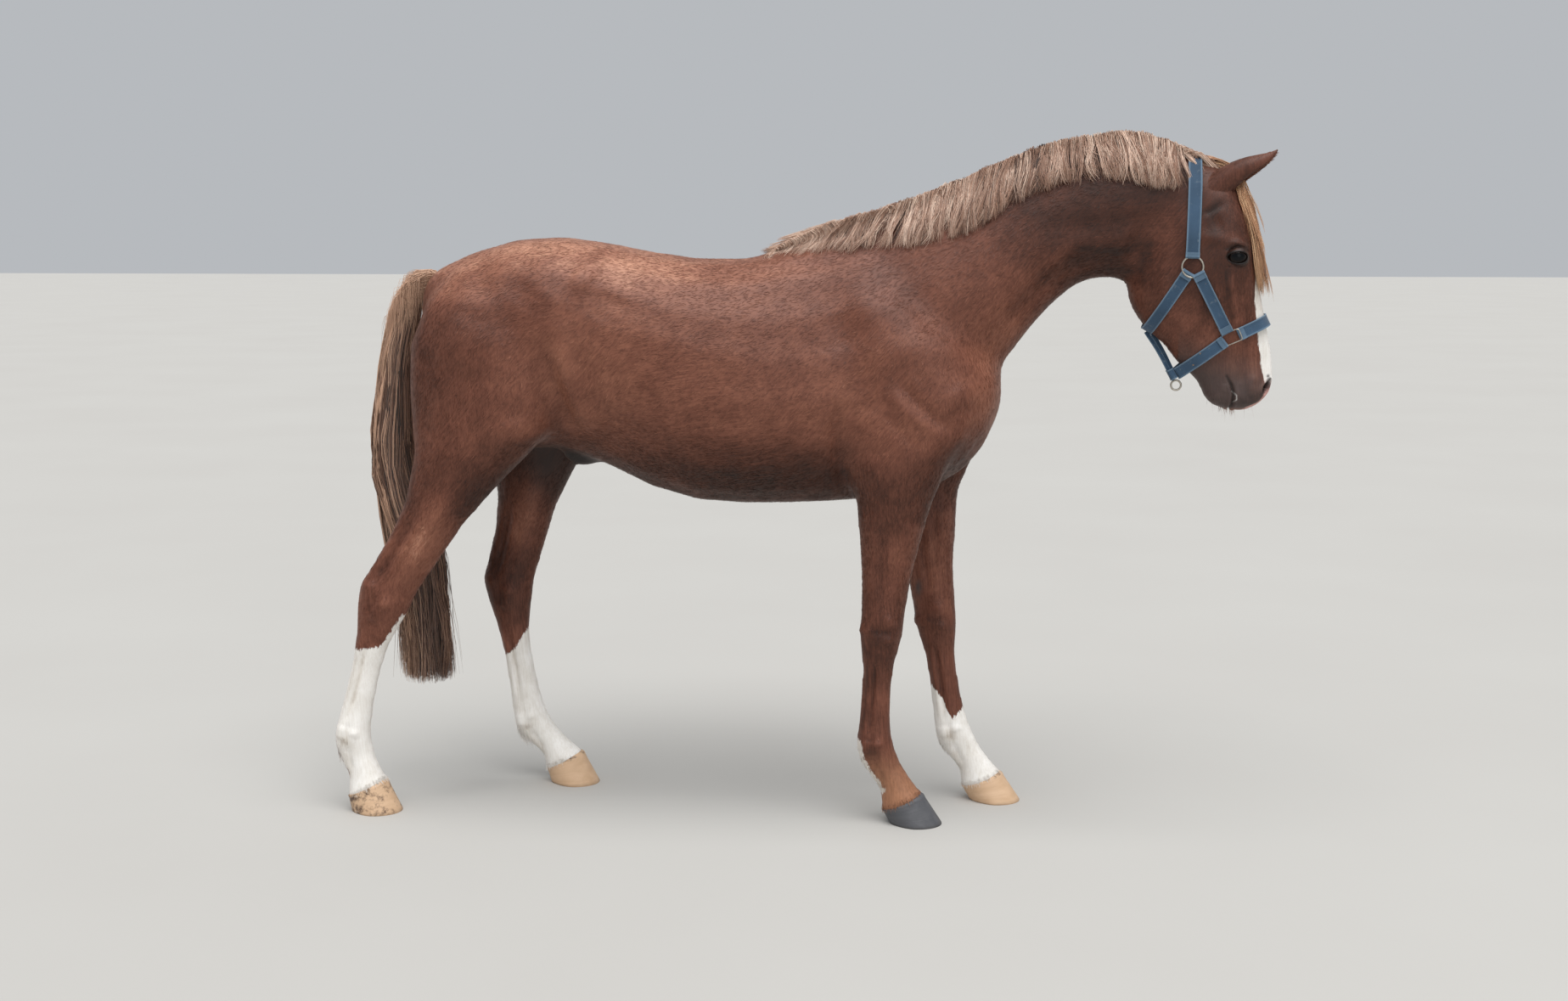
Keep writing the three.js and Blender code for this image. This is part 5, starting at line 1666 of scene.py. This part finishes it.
# A flat strap along a path, with bound edges a little thicker than its middle.
def strapMesh(name, path, out, wide, width, thick, fold=0.0):
    # across the strap and above its middle, as shares of its width and thickness
    ring = [(-0.5, 0.3), (-0.485, 0.85), (-0.43, 1.0), (-0.4, 0.72), (-0.2, 0.7), (0, 0.7), (0.2, 0.7),
            (0.4, 0.72), (0.43, 1.0), (0.485, 0.85), (0.5, 0.3),
            (0.5, -0.3), (0.43, -0.5), (0, -0.5), (-0.43, -0.5), (-0.5, -0.3)]
    points, chart = [], []
    away = np.concatenate([[0], np.cumsum(np.linalg.norm(np.diff(path, axis=0), axis=1))])
    for i, place in enumerate(path):
        for across, height in ring:
            points.append(place + wide * across * width + out[i] * height * thick)
            chart.append((away[i], across))
    piece = tubeMesh(name, points, len(ring))
    addAttribute(piece.data, "web", "FLOAT_VECTOR", np.column_stack([chart, np.full(len(chart), fold)]))
    mergeDoubles(piece, 0.000001)
    bpy.ops.object.shade_smooth_by_angle(angle=math.radians(40))
    return piece


# The end of a strap, folded back over a bar: out along its face, round the bar, and back under it.
def foldOver(path, out, wide, width, bar):
    thick = halter["thick"]
    keep = resampled(path, 60)
    away = np.concatenate([[0], np.cumsum(np.linalg.norm(np.diff(keep, axis=0), axis=1))])
    face = keep[away < halter["foldLength"]][::-1]
    outward, back = unit(out), unit(keep[0] - keep[2])
    upper = face + outward * (thick * 1.25)
    steps = np.radians(np.linspace(15, 165, 7))
    radius = bar + thick * 0.9
    turn = [keep[0] + outward * (radius * math.cos(a) + thick * 0.1) + back * radius * math.sin(a)
            for a in steps]
    lower = face[::-1] - outward * (thick * 0.8)
    whole = resampled(np.concatenate([upper, turn, lower]), 40)
    normals = unit(np.cross(np.gradient(whole, axis=0), wide))
    if normals[0] @ outward < 0:
        normals = -normals
    return strapMesh("fold", whole, normals, wide, width * 1.02, thick * 0.9, fold=1.0)


# A strap's ends, and the ways along it and across its width.
def strapFrame(start, end):
    start, end = (np.array([x + carried, 0, z]) for x, z in (start, end))
    along = unit(end - start)
    return start, end, along, np.array([-along[2], 0, along[0]])


# How far out the skin reaches under a strap's width.
def reachUnder(centre, spoke, across):
    reach = 0
    for share in (-0.5, -0.25, 0, 0.25, 0.5):
        spot = centre + across * share
        hit = onSkin(spot + spoke * 0.5, -spoke, 0.5)
        if hit:
            reach = max(reach, (np.array(hit) - spot) @ spoke)
    return reach + halter["lift"]


def outOf(path, wide, towards):
    out = unit(np.cross(np.gradient(path, axis=0), wide))
    return out * np.sign(out[len(out) // 2] @ towards)


# With a pull, the strap is drawn out as far as its end place, off the head.
def aroundHead(start, end, width, pull=None):
    start, end, along, wide = strapFrame(start, end)
    middle = start + along * 0.01
    places = []
    for angle in np.radians(np.arange(0, 360, 2.0)):
        spoke = along * math.cos(angle) + np.array([0, math.sin(angle), 0])
        reach = reachUnder(middle, spoke, wide * width)
        places.append((math.cos(angle) * reach, math.sin(angle) * reach))
    if pull:
        far = np.linalg.norm(end - middle)
        places += [(far, -pull), (far, pull)]
    line = tautLine(np.array(places))
    line = resampled(np.concatenate([line, line[:1]]), 240)[:-1]
    for _ in range(6):
        line = 0.5 * line + 0.25 * (np.roll(line, 1, axis=0) + np.roll(line, -1, axis=0))
    # Only the part beyond the start is strap. It runs from the right side of the head to the left.
    line = line[np.argsort(np.arctan2(line[:, 1], line[:, 0]))]
    line = line[line[:, 0] > -0.01]
    path = resampled(middle + line[:, :1] * along + line[:, 1:] * np.array([0, 1, 0]), 110)
    return path, outOf(path, wide, along), wide


def alongCheek(start, end, width, side):
    start, end, along, wide = strapFrame(start, end)
    spoke = np.array([0, side, 0])
    shares = np.linspace(0, np.linalg.norm(end - start), 40)
    line = [(share, reachUnder(start + along * share, spoke, wide * width)) for share in shares]
    line = tautLine(np.array(line + [(0, -1), (shares[-1], -1)]))
    line = line[line[:, 1] > 0]
    line = resampled(line[np.argsort(line[:, 0])], 50)
    path = start + line[:, :1] * along + line[:, 1:] * spoke
    return path, outOf(path, wide, spoke), wide


def webbingMaterial():
    # Worn nylon webbing: blue, bleached and rubbed, with a paler bound edge, a row of stitches and
    # a coarse rib across it, drawn at 1.6 mm so that it shows.
    material, add = newMaterial("worn nylon webbing")
    web = add("Attribute", attribute_name="web").outputs["Vector"]
    place = add("TexCoord").outputs["Object"]
    parts = add("SeparateXYZ", {0: web})
    weave = 1.0
    for axis, turns in (("X", 1 / 0.0016), ("Y", 9)):
        rib = add("Math", {0: parts.outputs[axis], 1: 2 * math.pi * turns}, operation="MULTIPLY")
        rib = add("Math", {0: rib}, operation="SINE")
        weave = add("Math", {0: rib, 1: weave}, operation="MULTIPLY")
    side = add("Math", {0: parts.outputs["Y"]}, operation="ABSOLUTE")
    bound = add("MapRange", {"Value": side, "From Min": 0.395, "From Max": 0.42})
    stitchLine = add("Math", {0: side, 1: 0.375, 2: 0.012}, operation="COMPARE")
    dash = add("Math", {0: parts.outputs["X"], 1: 0.0042}, operation="MODULO")
    dash = add("Math", {0: dash, 1: 0.0026}, operation="LESS_THAN")
    stitch = add("Math", {0: stitchLine, 1: dash}, operation="MULTIPLY")
    wear = add("TexNoise", {"Vector": place, "Scale": 55, "Detail": 4, "Roughness": 0.65})
    bleached = add("TexNoise", {"Vector": place, "Scale": 11, "Detail": 3})
    rubbed = add("MapRange", {"Value": wear, "From Min": 0.6, "From Max": 0.74})
    flecks = add("TexNoise", {"Vector": place, "Scale": 130, "Detail": 1})
    fleck = add("MapRange", {"Value": flecks, "From Min": 0.74, "From Max": 0.78})
    pale = add("Math", {0: bound, 1: stitch}, operation="MAXIMUM")
    fold = add("Math", {0: parts.outputs["Z"], 1: 0.6}, operation="MULTIPLY")
    pale = add("Math", {0: pale, 1: fold}, operation="MAXIMUM")
    colour = "24384a"
    for share, over in ((bleached, "46637f"), (rubbed, "6d7a84"), (fleck, "9a7a58"), (pale, "667e92")):
        colour = add("MixRGB", {"Fac": share, "Color1": colour, "Color2": over})
    # The rib is also painted into the colour, darker in its troughs and lighter on its crests: painted shade
    # and light of the weave.
    shade = add("MapRange", {"Value": weave, "From Min": -1, "To Min": 0.78, "To Max": 1.12})
    colour = add("MixRGB", {"Color1": colour, "Color2": shade, "Fac": 1.0}, blend_type="MULTIPLY")
    bump = add("Bump", {"Height": weave, "Strength": 0.35, "Distance": 0.0006})
    shader = add("BsdfPrincipled", {
        "Base Color": colour, "Normal": bump, "Roughness": 0.72, "Specular IOR Level": 0.3,
        "Sheen Weight": 0.15})
    add("OutputMaterial", {"Surface": shader})
    return material


def metalMaterial():
    # Cast and plated steel, dulled by use: pale, with soft wide highlights.
    material, add = newMaterial("dull plated steel")
    place = add("TexCoord").outputs["Object"]
    tarnish = add("TexNoise", {"Vector": place, "Scale": 160, "Detail": 3})
    colour = add("MixRGB", {"Fac": tarnish, "Color1": "d4cdc2", "Color2": "918a7e"})
    rough = add("MapRange", {"Value": tarnish, "To Min": 0.22, "To Max": 0.5})
    shader = add("BsdfPrincipled", {"Base Color": colour, "Roughness": rough, "Metallic": 1.0})
    add("OutputMaterial", {"Surface": shader})
    return material


webbing, plated = webbingMaterial(), metalMaterial()


# A strap along a path, with an end folded over a bar of each size given.
def dressStrap(name, node, path, out, wide, width, bars):
    pieces = [strapMesh(name, path, out, wide, width, halter["thick"])]
    pieces.append(foldOver(path, out[0], wide, width, bars[0]))
    pieces.append(foldOver(path[::-1], out[-1], wide, width, bars[1]))
    dress(joined(name, pieces), webbing, "webbing", node)


def buildStraps():
    ringBar, squareBar = halter["ringBar"], halter["squareBar"]
    for node, (start, end, width) in halter["loops"].items():
        made = aroundHead(start, end, width, halter["pull"] if "rear" in node else None)
        bars = [ringBar if "crown" in node or "throat" in node else squareBar] * 2
        dressStrap(node.replace("halter_", "halter_webbing_"), node, *made, width, bars)
    start, end, width = halter["cheek"]
    for side, word in sides:
        made = alongCheek(start, end, width, side)
        dressStrap(f"halter_webbing_{word}_cheek", f"halter_{word}_cheek_strap", *made, width,
                   (ringBar, squareBar))
    # The jaw strap is one narrow strap doubled, a little twisted, from the throat to the keeper.
    start, end, along, square = strapFrame(*halter["jaw"])
    steps = np.linspace(-0.2, 1.06, 24)[:, None]
    twist = halter["jawTwist"]
    wide = square * math.cos(twist) + np.array([0, math.sin(twist), 0])
    halves = []
    for aside, deep in halter["jawHalves"]:
        bow = aside + 0.002 * np.sin(math.pi * steps)
        path = start + (end - start) * steps + square * bow * (1.0 - 0.25 * steps) + [0, deep, 0]
        out = np.broadcast_to(np.cross(along, wide), path.shape)
        halves.append(strapMesh("jaw", path, out, wide, halter["jawWidth"], halter["thick"] * 0.9))
    dress(joined("halter_webbing_jaw", halves), webbing, "webbing", "halter_jaw_strap")
    # The keeper is a short sleeve of webbing under the chin.
    start, end, square, along = strapFrame(*halter["keeper"])
    centre = (start + end) / 2
    deep, wide = halter["keeperSize"]
    corner = halter["keeperCorner"]
    path = []
    for angle in np.linspace(0, 2 * math.pi, 33):
        c, s = math.cos(angle), math.sin(angle)
        path.append(centre + np.array([0, wide, 0]) * np.sign(c) * abs(c) ** corner
                    + square * deep * np.sign(s) * abs(s) ** corner)
    path = np.array(path)
    sleeve = strapMesh("keeper", path, unit(path - centre), along, halter["keeperWidth"], halter["thick"])
    # A plug of webbing fills it.
    path = np.array([centre - square * t for t in (0.006, 0.002, -0.002, -0.006)])
    out = np.broadcast_to(np.array([0, 1.0, 0]), path.shape)
    core = strapMesh("core", path, out, along, 0.025, 0.016)
    dress(joined("halter_webbing_keeper", [sleeve, core]), webbing, "webbing", "halter_chin_keeper")


def buildRings():
    x, y, z = halter["ring"]
    cx, cz = halter["chinRing"]
    rings = [(f"{word}_ring", (x + carried, side * y, z), halter["ringSize"], halter["ringBar"])
             for side, word in sides]
    rings.append(("chin_ring", (cx + carried, 0, cz), halter["chinRingSize"], halter["chinBar"]))
    for name, centre, size, bar in rings:
        ring = addShape("torus", "halter_metal_" + name, location=centre, rotation=(math.pi / 2, 0, 0),
                        major_segments=56, minor_segments=14, major_radius=size, minor_radius=bar)
        dress(ring, plated, "halter_metal", "halter_" + name)
    # The oblong rings stand just clear of the skin.
    sx, sz = halter["square"]
    for side, word in sides:
        square = addShape("torus", f"halter_metal_{word}_square", major_segments=72, minor_segments=10,
                          major_radius=1, minor_radius=0.1)
        points = pointsOf(square)
        around = np.arctan2(points[:, 1], points[:, 0])
        swell = (np.abs(np.cos(around)) ** 7 + np.abs(np.sin(around)) ** 7) ** (-1 / 7)
        rim = np.stack([np.cos(around), np.sin(around), 0 * around], axis=1)
        points = rim * swell[:, None] * [*halter["squareSize"], 0] + (points - rim) * halter["squareBar"] * 10
        turned = Euler((math.pi / 2, math.radians(halter["squareDip"]), side * halter["squareTurn"]))
        turned = np.array(turned.to_matrix())
        points = points @ turned.T + [sx + carried, 0, sz]
        under = [onSkin((p[0], side * 0.5, p[2]), (0, -side, 0)) for p in points[::10]]
        off = max(side * (hit.y - p[1]) for hit, p in zip(under, points[::10]) if hit)
        placePoints(square, points + [0, side * (off + halter["squareBar"]), 0])
        dress(square, plated, "halter_metal", f"halter_{word}_square_ring")


buildStraps()
buildRings()
stage("halter")


# Small hair: lashes, whiskers, the fringe in the ears, the hair behind the fetlocks and over the hooves.
smallHair = {
    "lash": {"count": 44, "length": 0.01, "width": 0.0002},
    "whisker": {"count": 46, "length": 0.026, "width": 0.0002},
    "chin": {"count": 34, "length": 0.012, "width": 0.0004},
    "fringe": {"count": 420, "length": 0.0085, "width": 0.00035},
    "fetlock": {"count": 300, "length": 0.02, "width": 0.00055},
    "coronet": {"count": 620, "length": 0.017, "width": 0.0006},
}


# Fine hairs in the coat's own colours, from roots along stated ways, with a droop.
def coatHairs(name, roots, ways, kind, tone, droop=0.2, rings=4):
    roots, ways = np.array(roots), np.array(ways, float)
    count = len(roots)
    length = smallHair[kind]["length"] * (0.5 + 0.8 * chance(count))
    if kind == "fetlock":  # fuller on the hind legs
        length *= np.where(roots[:, 0] < 0, 1.15, 0.55)
    share = np.linspace(0, 1, rings)[None, :, None]
    paths = roots[:, None] + ways[:, None] * length[:, None, None] * share
    paths[:, :, 2] -= droop * length[:, None] * share[:, :, 0] ** 2
    tone = rng.normal(tone, 0.08, count)
    taper = np.linspace(1, 0.25, rings)
    piece = strandMesh(name, paths, smallHair[kind]["width"], [0.2, -1, 0.3], tone, taper)
    each = len(piece.data.vertices) // count
    piece.data.attributes.remove(piece.data.attributes["own"])
    markMesh(piece.data, roots, np.zeros_like(roots), ways, np.repeat(tone, each), each)
    dress(piece, horsehair, "coat")
    return piece


def lashes():
    long, rise, _ = skin["opening"]
    cover = skin["eyeRadius"] + skin["lid"]
    roots, ways = [], []
    for side in (-1, 1):
        for u in np.linspace(-0.75, 0.95, smallHair["lash"]["count"]):
            v = rise * math.sqrt(1 - u * u) + 0.06 * u * long
            out = math.sqrt(cover ** 2 - (u * long) ** 2 - v ** 2)
            roots.append(np.array(eyeCentre(side)) + [u * long, side * (out + 0.0003), v + 0.0006])
            ways.append([0.35 * u + 0.1, side * 0.95, -0.28] + rng.normal(0, 0.09, 3))
    return coatHairs("lashes", roots, ways, "lash", -0.4, 0.1)


# Whiskers, mostly about the lips, and short pale hair under the chin.
def whiskers():
    roots, ways = [], []
    while len(roots) < smallHair["whisker"]["count"]:
        side = rng.choice([-1, 1])
        place = (rng.uniform(1.03, 1.16) + carried, side * 0.3, rng.uniform(1.06, 1.15))
        hit = onSkin(place, (0, -side, 0), 0.3)
        if hit:
            roots.append(hit)
            ways.append([0.15 * rng.normal(), side * rng.uniform(0.5, 0.8), -0.8])
    return coatHairs("whiskers", roots, ways, "whisker", 0.2, 0.3)


def chinHair():
    roots = []
    while len(roots) < smallHair["chin"]["count"]:
        hit = onSkin((rng.uniform(1.055, 1.1) + carried, rng.normal(0, 0.012), 0.9), (0, 0, 1))
        if hit and hit.z > 1:
            roots.append(hit)
    ways = [0, 0, -1] + rng.normal(0, 0.2, (len(roots), 3))
    return coatHairs("chin_hair", roots, ways, "chin", 0.6, 0)


# The fringe along the rims of the ears.
def earFringe():
    roots, ways = [], []
    for side in (-1, 1):
        base, tip, along, opening, across = earFrame(side)
        for _ in range(smallHair["fringe"]["count"]):
            share = rng.uniform(0.16, 0.97)
            half, depth, lift, gape = readRows(ear["rows"], share)
            angle = math.radians(180 - gape) * rng.choice([-1, 1])
            inner = rng.uniform(0.8, 0.97)
            s, c = math.sin(angle), math.cos(angle)
            centre = base + (tip - base) * share - opening * lift
            roots.append(centre + inner * (across * half * s - opening * depth * c))
            ways.append(along * 0.7 + opening * 0.35 - across * 0.55 * s + rng.normal(0, 0.12, 3))
    return coatHairs("ear_fringe", roots, ways, "fringe", 0.3, 0)


# Behind each fetlock, or all round each coronet.
def footHair(kind):
    roots, ways = [], []
    for name, leg in legs.items():
        (fx, fz), (jx, jz) = leg["joints"][2:]
        tip = math.radians(leg["tip"])
        for _ in range(smallHair[kind]["count"]):
            if kind == "fetlock":
                angle = math.pi + rng.normal(0, 0.38)
                centre = [fx + 0.01 + carried, hoof[name]["side"] * 0.97, fz - 0.034 + rng.normal(0, 0.013)]
                away = np.array([math.cos(angle), math.sin(angle), 0])
                way = away * 0.16 + [0.3, 0, -0.95]
            else:
                angle = rng.uniform(-math.pi, math.pi)
                centre = [jx - 0.016 * math.sin(tip) + carried, hoof[name]["side"],
                          jz + 0.016 * math.cos(tip) + rng.uniform(-0.004, 0.004)]
                level, aside = math.cos(angle), math.sin(angle)
                away = np.array([level * math.cos(tip), aside, level * math.sin(tip)])
                way = away * 0.42 + [0.38, 0, -0.85]
            hit = onSkin(centre + away * 0.15, -away, 0.15)
            if hit:
                roots.append(np.array(hit) - away * 0.001)
                ways.append(way + rng.normal(0, 0.1, 3))
    return coatHairs(kind + "_hair", roots, ways, kind, 0.02, 0.1)


smallPieces = [lashes(), whiskers(), chinHair(), earFringe(), footHair("fetlock"), footHair("coronet")]
stage("small hair", smallPieces)
